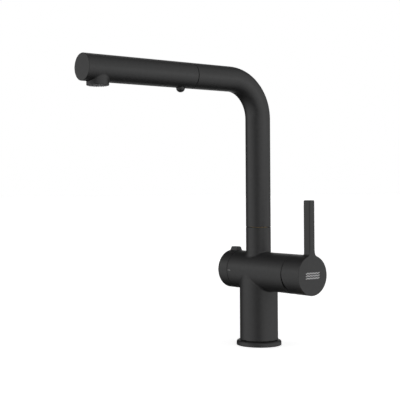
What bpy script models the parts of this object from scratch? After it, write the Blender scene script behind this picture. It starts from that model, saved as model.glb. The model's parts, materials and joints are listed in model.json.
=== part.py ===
"""A single-lever kitchen mixer with a pull-out spray head, built piece by piece.

Units are metres, +Z is up and z = 0 is the top of the deck. The column stands on the origin, the spout
points along -Y, the lever's hub lies on +X and the appliance-valve knob on -X.
Every piece is its own object; cutters sit in a second collection that isn't rendered.
"""

import math

import bmesh
import bpy
from mathutils import Euler, Matrix, Vector

# Driving dimensions
GAP = 0.0003  # clearance between neighbouring pieces
TUBE_RADIUS = 0.014  # spout tube, neck and spray head
TUBE_WALL = 0.0015
SPOUT_Z = 0.2971  # axis of the horizontal spout
BEND_RADIUS = 0.043
HEAD_SEAM = 0.0966  # column axis to the start of the spray head
SPOUT_REACH = 0.2348  # column axis to the spray head's end face
BODY_RADIUS = 0.0215  # barrel, hub and knob
BARREL_Z = 0.0828  # axis of the horizontal barrel
SWIVEL_Z = 0.1324  # seam between neck and spout
SWIVEL_STOP_Z = 0.1190  # height of the screw that runs in the sleeve's groove
RING_RADIUS = 0.0252
RING_HEIGHT = 0.0055
BARREL_LEFT = -0.0300
BARREL_RIGHT = 0.0579
HUB_BACK = 0.0585
HUB_FACE = 0.0847
KNOB_FACE = -0.0455
KNOB_BACK = BARREL_LEFT - GAP
LEVER_TOP = 0.1629
LEVER_WIDTH = 0.0081
LEVER_THICKNESS = 0.0092
PIVOT_X = 0.057  # tilt axis of the lever, inside the cartridge's neck
NOZZLE_Y = -0.2159
BUTTON_Y = -0.1108
BUTTON_RADIUS = 0.0047
HOSE_RADIUS = 0.0047
PORT_CIRCLE = 0.0100  # radius on which the four water ports lie
PORT_RADIUS = 0.0032
PORT_THREAD = 0.0040  # radius of an M8 port thread
SOCKET_TOP = 0.0140  # ceiling of the socket that the shank screws into
PORT_ANGLES = {"hot": 60, "cold": -60, "mixed": 0, "appliance": 180}  # degrees from +X
DECK_UNDERSIDE = -0.030  # of a 30 mm worktop
SHANK_END = -0.052

# Segments of a full turn
COARSE = 12
MEDIUM = 20
FINE = 32

# Turning local +Z onto these directions of the world
ALONG_Z = Euler((0, 0, 0))
ALONG_X = Euler((0, math.pi / 2, 0))
ALONG_SPOUT = Euler((math.pi / 2, 0, 0))
ALONG_BACK = Euler((-math.pi / 2, 0, 0))

BARREL = Vector((0, 0, BARREL_Z))
PIVOT = Vector((PIVOT_X, 0, BARREL_Z))
SPOUT = Vector((0, 0, SPOUT_Z))
BUTTON = Vector((0, BUTTON_Y, SPOUT_Z))
NOZZLE = Vector((0, NOZZLE_Y, SPOUT_Z))

FINISHES = {  # colour, roughness, metallic
    "black_coat": ((0.022, 0.022, 0.023), 0.46, 0.0),
    "brass": ((0.62, 0.46, 0.20), 0.35, 1.0),
    "steel": ((0.62, 0.62, 0.63), 0.30, 1.0),
    "rubber": ((0.03, 0.03, 0.03), 0.85, 0.0),
    "white_plastic": ((0.80, 0.80, 0.78), 0.50, 0.0),
    "grey_plastic": ((0.33, 0.34, 0.35), 0.50, 0.0),
    "black_plastic": ((0.03, 0.03, 0.032), 0.50, 0.0),
    "ceramic": ((0.86, 0.85, 0.82), 0.20, 0.0),
    "silicone": ((0.22, 0.22, 0.23), 0.60, 0.0),
    "nylon_braid": ((0.10, 0.10, 0.11), 0.70, 0.0),
    "pale_print": ((0.70, 0.70, 0.70), 0.55, 0.0),
}


# Tools
def clear_scene():
    """Empties the scene and returns the collections for the parts and for the cutters."""
    for old in list(bpy.data.objects):
        bpy.data.objects.remove(old)
    made = []
    for name in ("kitchen_mixer", "cutters"):
        group = bpy.data.collections.new(name)
        bpy.context.scene.collection.children.link(group)
        made.append(group)
    return made


def material(finish):
    """One Principled material for each finish, made on first use."""
    found = bpy.data.materials.get(finish)
    if found:
        return found
    colour, roughness, metallic = FINISHES[finish]
    made = bpy.data.materials.new(finish)
    made.use_nodes = True
    made.diffuse_color = (*colour, 1)
    shader = made.node_tree.nodes["Principled BSDF"]
    shader.inputs["Base Color"].default_value = (*colour, 1)
    shader.inputs["Roughness"].default_value = roughness
    shader.inputs["Metallic"].default_value = metallic
    return made


def empty(name, at, parent=None):
    """A joint's frame: the pieces that move with it hang from it."""
    frame = bpy.data.objects.new(name, None)
    frame.empty_display_size = 0.01
    PARTS.objects.link(frame)
    place(frame, at, ALONG_Z, parent)
    return frame


def place(obj, at, turn, parent):
    """Puts an object at a world place. Parents are never turned, so only their place is taken off."""
    obj.parent = parent
    above = Vector((0, 0, 0))
    while parent:
        above += parent.location
        parent = parent.parent
    obj.location = Vector(at) - above
    obj.rotation_euler = turn


def add_object(name, mesh, finish, at, turn, parent):
    """Links a mesh as a piece, or as a cutter when it has no finish."""
    obj = bpy.data.objects.new(name, mesh)
    if finish:
        PARTS.objects.link(obj)
        mesh.materials.append(material(finish))
        mesh.polygons.foreach_set("use_smooth", [True] * len(mesh.polygons))
    else:
        CUTTERS.objects.link(obj)
        obj.hide_render = True
        obj.display_type = "WIRE"
    place(obj, at, turn, parent)
    return obj


def mesh_from(name, shape):
    """A mesh from a bmesh, which is freed."""
    mesh = bpy.data.meshes.new(name)
    shape.to_mesh(mesh)
    shape.free()
    return mesh


def turned(name, profile, finish, at=(0, 0, 0), turn=ALONG_Z, parent=None, closed=False, steps=MEDIUM):
    """A turned piece: (radius, height) points, from the top down the outside, swept by a Screw.

    An open profile starts and ends on the axis; a closed one is the section of a ring or tube.
    """
    count = len(profile)
    edges = [(i, i + 1) for i in range(count - 1)]
    if closed:
        edges.append((count - 1, 0))
    mesh = bpy.data.meshes.new(name)
    mesh.from_pydata([(radius, 0, height) for radius, height in profile], edges, [])
    obj = add_object(name, mesh, finish, at, turn, parent)
    screw = obj.modifiers.new("turn", "SCREW")
    screw.steps = steps
    screw.render_steps = steps
    screw.use_merge_vertices = True
    screw.merge_threshold = 0.00001
    screw.use_smooth_shade = True
    return obj


def ring(name, outer, inner, low, high, finish, at=(0, 0, 0), turn=ALONG_Z, parent=None, steps=MEDIUM):
    """A plain ring or tube between two heights on its axis."""
    profile = [(outer, high), (outer, low), (inner, low), (inner, high)]
    return turned(name, profile, finish, at, turn, parent, True, steps)


def rod(name, radius, low, high, finish=None, at=(0, 0, 0), turn=ALONG_Z, parent=None, steps=MEDIUM):
    """A solid cylinder between two heights on its axis; with no finish it is a cutter."""
    shape = bmesh.new()
    middle = Matrix.Translation((0, 0, (low + high) / 2))
    bmesh.ops.create_cone(
        shape, cap_ends=True, segments=steps, radius1=radius, radius2=radius, depth=high - low, matrix=middle
    )
    return add_object(name, mesh_from(name, shape), finish, at, turn, parent)


def block(name, low, high, finish=None, at=(0, 0, 0), turn=ALONG_Z, parent=None):
    """A box between two corners, counted from `at`."""
    size = Vector(high) - Vector(low)
    middle = (Vector(high) + Vector(low)) / 2
    shape = bmesh.new()
    bmesh.ops.create_cube(shape, size=1, matrix=Matrix.Translation(middle) @ Matrix.Diagonal((*size, 1)))
    return add_object(name, mesh_from(name, shape), finish, at, turn, parent)


def combine(target, other, operation="DIFFERENCE"):
    """Cuts a cutter from a piece, or joins it on."""
    boolean = target.modifiers.new(other.name, "BOOLEAN")
    boolean.operation = operation
    boolean.object = other


def round_edges(obj, width, segments=2):
    """Rounds the sharp edges of a piece."""
    bevel = obj.modifiers.new("rounding", "BEVEL")
    bevel.width = width
    bevel.segments = segments
    bevel.limit_method = "ANGLE"
    bevel.angle_limit = math.radians(50)


def arc(centre_radius, centre_height, radius, start, end, count):
    """Points of an arc in a profile, angles in degrees counted from outwards to up."""
    angles = [math.radians(start + (end - start) * i / count) for i in range(count + 1)]
    return [(centre_radius + radius * math.cos(a), centre_height + radius * math.sin(a)) for a in angles]


def path_curve(name, points, radius, finish, filled, parent, resolution=6):
    """A round section swept along straight steps between points."""
    curve = bpy.data.curves.new(name, "CURVE")
    curve.dimensions = "3D"
    curve.bevel_depth = radius
    curve.bevel_resolution = resolution
    curve.use_fill_caps = filled
    spline = curve.splines.new("POLY")
    spline.points.add(len(points) - 1)
    for point, where in zip(spline.points, points):
        point.co = (*where, 1)
    spline.use_smooth = True
    obj = bpy.data.objects.new(name, curve)
    curve.materials.append(material(finish))
    PARTS.objects.link(obj)
    place(obj, (0, 0, 0), ALONG_Z, parent)
    return obj


def spout_path(bottom, end):
    """The centre line of the spout from a height on the column to a distance along the spout."""
    steps = 12
    points = [(0, 0, bottom)]
    for i in range(steps + 1):
        angle = math.pi / 2 * i / steps
        y = -BEND_RADIUS * (1 - math.cos(angle))
        z = SPOUT_Z - BEND_RADIUS * (1 - math.sin(angle))
        points.append((0, y, z))
    points.append((0, -end, SPOUT_Z))
    return points


def make_hollow(obj, wall):
    """Gives an open swept surface its wall, towards the inside."""
    solidify = obj.modifiers.new("wall", "SOLIDIFY")
    solidify.thickness = wall
    solidify.offset = -1


# Deck side
def make_base():
    """The round escutcheon ring with the gasket in its underside."""
    inner = 0.0195
    groove = (0.0207, 0.0235, 0.0016)  # inner radius, outer radius, depth
    edge = 0.0025
    profile = arc(RING_RADIUS - edge, RING_HEIGHT - edge, edge, 90, 0, 4)
    profile += [(RING_RADIUS, 0.0004), (RING_RADIUS - 0.0004, 0), (groove[1], 0), (groove[1], groove[2])]
    profile += [(groove[0], groove[2]), (groove[0], 0), (inner, 0), (inner, RING_HEIGHT)]
    turned("base_ring", profile, "black_coat", closed=True, steps=FINE)
    ring("base_gasket", groove[1] - GAP, groove[0] + GAP, 0, groove[2] - GAP, "rubber")


def make_deck_clamp():
    """The threaded shank through the deck hole, with its gasket, washer and nut under the deck."""
    outer = 0.0160
    low = DECK_UNDERSIDE
    ring("mounting_shank", outer, 0.0144, SHANK_END, SOCKET_TOP - GAP, "brass")
    ring("clamp_gasket", 0.0240, outer + GAP, low - 0.0023, low - GAP, "rubber")
    ring("clamp_washer", 0.0240, outer + GAP, low - 0.0041, low - 0.0026, "steel")
    nut_top = low - 0.0044
    nut = rod("mounting_nut", 0.0215, nut_top - 0.008, nut_top, "brass", steps=6)
    combine(nut, rod("nut_thread", outer + GAP, nut_top - 0.010, nut_top + 0.002))


# Casting
def port_place(angle):
    """Where a water port's axis crosses the deck plane."""
    turn = math.radians(angle)
    return (PORT_CIRCLE * math.cos(turn), PORT_CIRCLE * math.sin(turn), 0)


def make_body():
    """The mixer's casting: column, barrel and neck, with its waterways."""
    neck = SWIVEL_Z - GAP
    foot = RING_HEIGHT + GAP
    spigot = 0.0192
    column = 0.0214
    profile = [(0, neck), (TUBE_RADIUS, neck), (TUBE_RADIUS, BARREL_Z), (column, BARREL_Z), (column, foot)]
    profile += [(spigot, foot), (spigot, 0.0008), (0, 0.0008)]
    body = turned("mixer_body", profile, "black_coat", steps=FINE)
    edge = 0.0004
    barrel = [(0, BARREL_RIGHT), (BODY_RADIUS - edge, BARREL_RIGHT), (BODY_RADIUS, BARREL_RIGHT - edge)]
    barrel += [(BODY_RADIUS, BARREL_LEFT + edge), (BODY_RADIUS - edge, BARREL_LEFT), (0, BARREL_LEFT)]
    combine(body, turned("barrel_core", barrel, None, BARREL, ALONG_X, steps=FINE), "UNION")

    vertical = {  # bores up the column: place, radius, from, to
        "hose_bore": ((0, 0, 0), HOSE_RADIUS + 0.0005, -0.010, 0.140),
        "neck_bore": ((0, 0, 0), TUBE_RADIUS - TUBE_WALL, 0.106, 0.140),
        "shank_socket": ((0, 0, 0), 0.0163, -0.010, SOCKET_TOP),
        "hot_port": (port_place(PORT_ANGLES["hot"]), PORT_RADIUS, 0.010, 0.0890),
        "cold_port": (port_place(PORT_ANGLES["cold"]), PORT_RADIUS, 0.010, 0.0890),
        "mixed_port": (port_place(PORT_ANGLES["mixed"]), PORT_RADIUS, 0.010, 0.0757),
        "appliance_port": (port_place(PORT_ANGLES["appliance"]), PORT_RADIUS, 0.010, 0.0790),
        "cold_riser": ((-0.018, -0.007, 0), 0.0024, 0.0660, 0.0790),
    }
    for name, angle in PORT_ANGLES.items():
        vertical[name + "_thread"] = (port_place(angle), PORT_THREAD, 0.010, SOCKET_TOP + 0.012)
    for name, (at, radius, low, high) in vertical.items():
        combine(body, rod(name, radius, low, high, at=at, steps=MEDIUM if radius > PORT_RADIUS else COARSE))
    level = {  # bores along the barrel: y, height above its axis, radius, from, to
        "cartridge_bore": (0, 0, 0.0176, 0.0220, 0.070),
        "nut_thread_bore": (0, 0, 0.0189, 0.0503, 0.070),
        "headwork_bore": (0, 0, 0.0093, -0.040, -0.0130),
        "headwork_seat": (0, 0, 0.0060, -0.0140, -0.0086),
        "hot_passage": (0.0082, 0.0056, 0.0030, 0.0053, 0.0230),
        "cold_passage": (-0.0082, 0.0056, 0.0030, 0.0053, 0.0230),
        "mixed_passage": (0, -0.0081, 0.0030, 0.0106, 0.0230),
        "appliance_feed": (-0.0092, -0.0158, 0.0024, -0.0180, 0.0053),
    }
    for name, (y, rise, radius, low, high) in level.items():
        at = BARREL + Vector((0, y, rise))
        steps = MEDIUM if radius > PORT_RADIUS else COARSE
        combine(body, rod(name, radius, low, high, at=at, turn=ALONG_X, steps=steps))
    screw_z = Vector((0, 0, SWIVEL_STOP_Z))
    combine(body, rod("spout_screw_hole", 0.0021, 0.0112, 0.0160, at=screw_z, turn=ALONG_BACK, steps=COARSE))

    length, height, depth = 0.0048, 0.0011, 0.0004
    low = Vector((BARREL_LEFT + 0.0013, -BODY_RADIUS, -height / 2))
    high = low + Vector((length, depth, height))
    slack = Vector((0.0002, 0.0003, 0.0002))
    combine(body, block("index_pocket", low - slack, high + slack, at=BARREL))
    block("index_mark", low + Vector((0, 0.0001, 0)), high, "pale_print", at=BARREL)


# Mixing cartridge
def drill_ports(plate, radius):
    """The three waterways through a plate of the cartridge."""
    for name, y, rise in (("hot", 0.0082, 0.0056), ("cold", -0.0082, 0.0056), ("mixed", 0, -0.0081)):
        at = BARREL + Vector((0, y, rise))
        cutter = rod(f"{plate.name}_{name}", radius, 0.020, 0.036, at=at, turn=ALONG_X, steps=12)
        combine(plate, cutter)


def make_cartridge():
    """The fixed half of the 35 mm cartridge, the nut that holds it and the dome over the nut."""
    seal = rod("cartridge_seal", 0.0172, 0.0223, 0.0239, "rubber", BARREL, ALONG_X)
    base_profile = [(0, 0.0294), (0.0155, 0.0294), (0.0155, 0.0266)]
    base_profile += [(0.0172, 0.0266), (0.0172, 0.0242), (0, 0.0242)]
    base = turned("cartridge_base", base_profile, "white_plastic", BARREL, ALONG_X)
    disc = rod("fixed_disc", 0.0152, 0.0297, 0.0330, "ceramic", BARREL, ALONG_X)
    for plate in (seal, base, disc):
        drill_ports(plate, 0.0027)
    housing = [(0.0098, 0.0586), (0.0098, 0.0500), (0.0173, 0.0500), (0.0173, 0.0269), (0.0158, 0.0269)]
    housing += [(0.0158, 0.0472), (0.0086, 0.0472), (0.0086, 0.0586)]
    turned("cartridge_housing", housing, "grey_plastic", BARREL, ALONG_X, closed=True)
    ring("cartridge_nut", 0.0186, 0.0102, 0.0503, 0.0576, "brass", BARREL, ALONG_X)
    dome = [(0.0104, 0.0609), (0.0136, 0.0603), (0.0166, 0.0589), (0.0166, 0.0579), (0.0104, 0.0579)]
    turned("trim_dome", dome, "black_coat", BARREL, ALONG_X, closed=True)


def make_mixing_carrier(frame):
    """The turning carrier that the lever's stem rocks in, with its pin."""
    profile = [(0, 0.0604), (0.0083, 0.0604), (0.0083, 0.0469)]
    profile += [(0.0154, 0.0469), (0.0154, 0.0413), (0, 0.0413)]
    carrier = turned("stem_carrier", profile, "white_plastic", BARREL, ALONG_X, frame)
    for side in (-1, 1):
        inner, outer = sorted((side * 0.0098, side * 0.0126))
        rail = block(f"rail_{side}", (0.0372, inner, -0.008), (0.0420, outer, 0.008), at=BARREL)
        combine(carrier, rail, "UNION")
    combine(carrier, block("finger_slot", (0.036, -0.0041, -0.0030), (0.0500, 0.0041, 0.0064), at=BARREL))
    combine(carrier, block("stem_slot", (0.0495, -0.0041, -0.0050), (0.0620, 0.0041, 0.0050), at=BARREL))
    combine(carrier, rod("pin_hole", 0.0017, -0.010, 0.010, at=PIVOT, turn=ALONG_BACK, steps=COARSE))
    rod("pivot_pin", 0.0014, -0.0080, 0.0080, "steel", PIVOT, ALONG_BACK, frame, COARSE)


def make_disc_slider(frame):
    """The sliding ceramic disc and the block that carries it."""
    disc = [(0, 0.0366), (0.0105, 0.0366), (0.0105, 0.0333), (0.0065, 0.0333), (0.0065, 0.0350), (0, 0.0350)]
    turned("moving_disc", disc, "ceramic", BARREL, ALONG_X, frame)
    low, high = (0.0369, -0.0094, -0.0075), (0.0409, 0.0094, 0.0075)
    slider = block("disc_slider", low, high, "white_plastic", BARREL, ALONG_Z, frame)
    combine(slider, rod("finger_socket", 0.0029, 0.0379, 0.0430, at=BARREL, turn=ALONG_X, steps=COARSE))


# Lever
def make_lever(frame):
    """The lever: hub and blade in one casting, the stem it clamps, its screw and the screw's plug."""
    edge = 0.0006
    cup = 0.0178
    profile = [(0, HUB_FACE), (BODY_RADIUS - edge, HUB_FACE), (BODY_RADIUS, HUB_FACE - edge)]
    profile += [(BODY_RADIUS, HUB_BACK), (cup, HUB_BACK), (cup, 0.0730), (0.0076, 0.0730), (0.0076, 0.0640)]
    profile += [(0, 0.0640)]
    lever = turned("lever_handle", profile, "black_coat", BARREL, ALONG_X, frame, steps=FINE)
    front = HUB_FACE + 0.0001
    low = (front - LEVER_THICKNESS, -LEVER_WIDTH / 2, 0.0185)
    high = (front, LEVER_WIDTH / 2, LEVER_TOP - BARREL_Z)
    blade = block("blade_core", low, high, at=BARREL)
    round_edges(blade, 0.0006, 1)
    combine(lever, blade, "UNION")

    lean = math.atan2(0.0043, BODY_RADIUS)
    relief = block("tilt_relief", (-0.060, -0.040, -0.040), (0, 0.040, 0.040), at=(HUB_BACK, 0, BARREL_Z))
    relief.rotation_euler = Euler((0, -lean, 0))
    combine(lever, relief)
    half = 0.0039
    combine(lever, block("stem_socket", (0.0600, -half, -half), (0.0802, half, half), at=BARREL))
    screw = Vector((0.0770, 0, BARREL_Z))
    combine(lever, rod("lever_screw_hole", 0.0021, -0.0230, -0.0020, at=screw, steps=COARSE))
    combine(lever, rod("plug_seat", 0.0030, -0.0230, -0.0172, at=screw, steps=COARSE))
    combine(lever, wave("emblem_pocket", None, 0.0003, 0.0010, HUB_FACE))

    half = 0.0036
    stem = block("lever_stem", (0.0520, -half, -half), (0.0798, half, half), "steel", BARREL, ALONG_Z, frame)
    combine(stem, rod("stem_finger", 0.0023, 0.0384, 0.0530, at=BARREL, turn=ALONG_X, steps=COARSE), "UNION")
    combine(stem, rod("stem_pin_hole", 0.0017, -0.010, 0.010, at=PIVOT, turn=ALONG_BACK, steps=COARSE))
    grub = [(0, -0.0042), (0.0018, -0.0042), (0.0018, -0.0108)]
    grub += [(0.0009, -0.0108), (0.0009, -0.0090), (0, -0.0090)]
    turned("lever_grub_screw", grub, "steel", screw, ALONG_Z, frame, steps=COARSE)
    rod("screw_plug", 0.0027, -0.0212, -0.0176, "black_plastic", screw, ALONG_Z, frame, COARSE)
    wave("emblem_mark", "pale_print", 0, 0.0003, HUB_FACE - 0.0002, frame)


def wave(name, finish, margin, depth, x, parent=None):
    """A ripple line on the hub's face, as a flat outline with an extrude, made a mesh."""
    steps = 18
    length, swing, half_width = 0.0210, 0.0022, 0.0014
    upper = []
    lower = []
    for i in range(steps + 1):
        y = (length + 2 * margin) * (i / steps - 0.5)
        z = swing * math.sin(3 * math.pi * (y / length + 0.5))
        taper = half_width * (0.45 + 0.55 * math.sin(math.pi * i / steps)) + margin
        upper.append((y, z + taper))
        lower.append((y, z - taper))
    outline = upper + lower[::-1]
    curve = bpy.data.curves.new(name, "CURVE")
    curve.dimensions = "2D"
    curve.fill_mode = "BOTH"
    curve.extrude = depth / 2
    spline = curve.splines.new("POLY")
    spline.points.add(len(outline) - 1)
    for point, (y, z) in zip(spline.points, outline):
        point.co = (y, z, 0, 1)
    spline.use_cyclic_u = True
    flat = bpy.data.objects.new(name + "_outline", curve)
    bpy.context.scene.collection.objects.link(flat)
    bpy.context.view_layer.update()
    solid = bpy.data.meshes.new_from_object(flat.evaluated_get(bpy.context.evaluated_depsgraph_get()))
    bpy.data.objects.remove(flat)
    shape = bmesh.new()
    shape.from_mesh(solid)
    bmesh.ops.remove_doubles(shape, verts=shape.verts, dist=0.000001)
    bmesh.ops.recalc_face_normals(shape, faces=shape.faces)
    upright = Euler((math.pi / 2, 0, math.pi / 2))
    return add_object(name, mesh_from(name, shape), finish, (x, 0, BARREL_Z), upright, parent)


# Appliance valve
def make_headwork():
    """The quarter-turn valve's housing, its fixed disc and the seal under it."""
    profile = [(0.0090, -0.0149), (0.0090, -0.0298), (0.0080, -0.0308), (0.0033, -0.0308), (0.0033, -0.0223)]
    profile += [(0.0054, -0.0223), (0.0054, -0.0149)]
    housing = turned("headwork_housing", profile, "brass", BARREL, ALONG_X, closed=True)
    window = BARREL + Vector((-0.0205, 0, 0))
    combine(housing, rod("headwork_window", 0.0019, -0.0120, -0.0045, at=window, steps=COARSE))
    disc = rod("headwork_fixed_disc", 0.0051, -0.0172, -0.0152, "ceramic", BARREL, ALONG_X)
    at = BARREL + Vector((0, 0, -0.0026))
    combine(disc, rod("fixed_disc_hole", 0.0015, -0.020, -0.012, at=at, turn=ALONG_X, steps=12))
    ring("headwork_seal", 0.0088, 0.0030, -0.0146, -0.0133, "rubber", BARREL, ALONG_X)


def make_knob(frame):
    """The knob with its lug, the spindle it is clamped on, its screw and the disc it turns."""
    edge = 0.0006
    boss, cup = 0.0060, 0.0180
    profile = [(0, -0.0312), (boss, -0.0312), (boss, -0.0405), (cup, -0.0405), (cup, KNOB_BACK)]
    profile += [(BODY_RADIUS, KNOB_BACK), (BODY_RADIUS, KNOB_FACE + edge), (BODY_RADIUS - edge, KNOB_FACE)]
    profile += [(0, KNOB_FACE)]
    knob = turned("control_knob", profile, "black_coat", BARREL, ALONG_X, frame, steps=FINE)
    combine(knob, lug_core(), "UNION")
    combine(knob, rod("spindle_socket", 0.0033, -0.0415, -0.0300, at=BARREL, turn=ALONG_X, steps=COARSE))
    screw = BARREL + Vector((-0.0360, 0, 0))
    combine(knob, rod("knob_screw_hole", 0.0019, -0.0230, -0.0020, at=screw, steps=COARSE))
    grub = [(0, -0.0034), (0.0016, -0.0034), (0.0016, -0.0074)]
    grub += [(0.0008, -0.0074), (0.0008, -0.0060), (0, -0.0060)]
    turned("knob_screw", grub, "steel", screw, ALONG_Z, frame, steps=COARSE)

    spindle = [(0, -0.0198), (0.0051, -0.0198), (0.0051, -0.0219)]
    spindle += [(0.0030, -0.0219), (0.0030, -0.0408), (0, -0.0408)]
    turned("valve_spindle", spindle, "brass", BARREL, ALONG_X, frame, steps=COARSE)
    disc = rod("headwork_moving_disc", 0.0051, -0.0195, -0.0175, "ceramic", BARREL, ALONG_X, frame)
    at = BARREL + Vector((0, 0, 0.0026))
    combine(disc, rod("moving_disc_hole", 0.0015, -0.022, -0.015, at=at, turn=ALONG_X, steps=12))


def lug_core():
    """The knob's finger lug: a pyramid with its top cut off, standing on the rim."""
    base, top, height = (0.0138, 0.0100), (0.0090, 0.0056), 0.0072
    lug_top = BARREL_Z + BODY_RADIUS + 0.0042
    shape = bmesh.new()
    bmesh.ops.create_cube(shape, size=1, matrix=Matrix.Translation((0, 0, -height / 2)))
    for vertex in shape.verts:
        at_top = vertex.co.z > -height / 2
        size = top if at_top else base
        vertex.co.x = math.copysign(size[0] / 2, vertex.co.x)
        vertex.co.y = math.copysign(size[1] / 2, vertex.co.y)
        vertex.co.z = 0 if at_top else -height
    at = ((KNOB_FACE + KNOB_BACK) / 2 - 0.0003, 0, lug_top)
    lug = add_object("lug_core", mesh_from("lug_core", shape), None, at, ALONG_Z, None)
    round_edges(lug, 0.0005, 1)
    return lug


# Spout
def make_spout(frame):
    """The bent tube, the sleeve it swivels on and the bush that the spray head docks in."""
    start = SWIVEL_Z + GAP
    end = HEAD_SEAM - 0.0006
    tube = path_curve("spout_tube", spout_path(start, end), TUBE_RADIUS, "black_coat", False, frame)
    make_hollow(tube, TUBE_WALL)
    groove = 0.0015
    sleeve = [(0.0122, 0.1500), (0.0122, SWIVEL_Z + 0.0006), (0.0110, SWIVEL_Z + 0.0006)]
    sleeve += [(0.0110, SWIVEL_STOP_Z + groove), (0.0102, SWIVEL_STOP_Z + groove)]
    sleeve += [(0.0102, SWIVEL_STOP_Z - groove), (0.0110, SWIVEL_STOP_Z - groove), (0.0110, 0.1085)]
    sleeve += [(0.0092, 0.1085), (0.0092, 0.1500)]
    turned("swivel_sleeve", sleeve, "brass", parent=frame, closed=True)
    ring("docking_bush", 0.0122, 0.0104, 0.0765, end, "white_plastic", SPOUT, ALONG_SPOUT, frame)
    hose = path_curve(
        "spray_hose", spout_path(-0.040, 0.0755), HOSE_RADIUS, "nylon_braid", False, frame, resolution=3
    )
    make_hollow(hose, 0.0014)


def make_swivel_bearings():
    """The two bushes in the neck and the screw that keeps the sleeve in."""
    for name, low, high in (("lower_swivel_bush", 0.1064, 0.1164), ("upper_swivel_bush", 0.1214, 0.1317)):
        ring(name, 0.0122, 0.0113, low, high, "white_plastic")
    nose = [(0, 0.0136), (0.0018, 0.0136), (0.0018, 0.0118), (0.0011, 0.0112), (0.0011, 0.0105), (0, 0.0105)]
    at = (0, 0, SWIVEL_STOP_Z)
    turned("spout_grub_screw", nose, "steel", at, ALONG_BACK, steps=COARSE)


# Spray head
def make_spray_shell(frame):
    """The head's shell with the nozzle's collar under it and the hole for the button."""
    edge = 0.0006
    bore = TUBE_RADIUS - TUBE_WALL
    floor = SPOUT_REACH - 0.0022
    profile = [(0, SPOUT_REACH), (TUBE_RADIUS - edge, SPOUT_REACH), (TUBE_RADIUS, SPOUT_REACH - edge)]
    profile += [(TUBE_RADIUS, HEAD_SEAM), (bore, HEAD_SEAM), (bore, floor), (0, floor)]
    shell = turned("spray_shell", profile, "black_coat", SPOUT, ALONG_SPOUT, frame, steps=FINE)
    combine(shell, rod("nozzle_collar", 0.0115, -0.0176, -0.0050, at=NOZZLE, steps=FINE), "UNION")
    combine(shell, rod("nozzle_bore", 0.0102, -0.0200, 0.0060, at=NOZZLE, steps=MEDIUM))
    combine(shell, rod("button_hole", BUTTON_RADIUS + GAP, -0.0200, -0.0080, at=BUTTON))


def make_spray_inlet(frame):
    """What the hose screws into: nut, spigot, O-ring and check valve."""
    ring("hose_nut", 0.0072, 0.0030, 0.0758, 0.0902, "brass", SPOUT, ALONG_SPOUT, frame, COARSE)
    spigot = [(0.0122, 0.1000), (0.0122, 0.0970), (0.0101, 0.0970), (0.0101, 0.0856), (0.0086, 0.0856)]
    spigot += [(0.0086, 0.0838), (0.0101, 0.0838), (0.0101, 0.0790), (0.0075, 0.0790), (0.0075, 0.0905)]
    spigot += [(0.0040, 0.0905), (0.0040, 0.1000)]
    turned("spray_spigot", spigot, "white_plastic", SPOUT, ALONG_SPOUT, frame, closed=True)
    section = arc(0.0095, 0.0847, 0.0006, 90, -225, 7)
    turned("spigot_o_ring", section, "rubber", SPOUT, ALONG_SPOUT, frame, closed=True)
    ring("check_valve", 0.0037, 0.0016, 0.0920, 0.0985, "grey_plastic", SPOUT, ALONG_SPOUT, frame, COARSE)


def make_spray_core(frame):
    """The diverter's housing, the water tube, the nozzle's chamber and the spray face with its aerator."""
    housing = rod("diverter_housing", 0.0122, 0.1003, 0.1260, "white_plastic", SPOUT, ALONG_SPOUT, frame)
    combine(housing, rod("water_bore", 0.0034, 0.0990, 0.1270, at=SPOUT, turn=ALONG_SPOUT, steps=COARSE))
    combine(housing, rod("spool_bore", 0.0043, -0.0140, 0.0040, at=BUTTON, steps=COARSE))
    combine(housing, rod("button_bore", BUTTON_RADIUS + GAP, -0.0140, -0.0105, at=BUTTON))
    ring("waterway_tube", 0.0046, 0.0034, 0.1263, 0.2056, "grey_plastic", SPOUT, ALONG_SPOUT, frame, COARSE)
    cup = [(0, 0.0065), (0.0099, 0.0065), (0.0099, -0.0143), (0.0083, -0.0143), (0.0083, 0.0049), (0, 0.0049)]
    chamber = turned("nozzle_chamber", cup, "white_plastic", NOZZLE, ALONG_Z, frame)
    combine(chamber, rod("chamber_inlet", 0.0034, 0.0050, 0.0120, at=NOZZLE, turn=ALONG_BACK, steps=COARSE))
    face = ring("spray_face", 0.0099, 0.0052, -0.0174, -0.0146, "silicone", NOZZLE, ALONG_Z, frame)
    combine(face, nub_ring(18, 0.0076), "UNION")
    ring("aerator_insert", 0.0049, 0.0018, -0.0172, -0.0090, "grey_plastic", NOZZLE, ALONG_Z, frame, COARSE)


def nub_ring(count, circle):
    """Small cones in a circle under the spray face, which they are joined to."""
    shape = bmesh.new()
    for i in range(count):
        angle = 2 * math.pi * i / count
        at = Matrix.Translation((circle * math.cos(angle), circle * math.sin(angle), -0.0175))
        bmesh.ops.create_cone(
            shape, cap_ends=True, segments=6, radius1=0.0005, radius2=0.0009, depth=0.0014, matrix=at
        )
    return add_object("nubs", mesh_from("nubs", shape), None, NOZZLE, ALONG_Z, None)


def make_spring(frame):
    """The spring over the diverter's spool."""
    turns, per_turn, radius, wire = 4, 8, 0.0026, 0.00035
    low, high = SPOUT_Z - 0.0008, SPOUT_Z + 0.0033
    points = []
    for i in range(turns * per_turn + 1):
        angle = 2 * math.pi * i / per_turn
        z = low + (high - low) * i / (turns * per_turn)
        points.append((radius * math.cos(angle), BUTTON_Y + radius * math.sin(angle), z))
    path_curve("diverter_spring", points, wire, "steel", True, frame, resolution=1)


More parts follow.
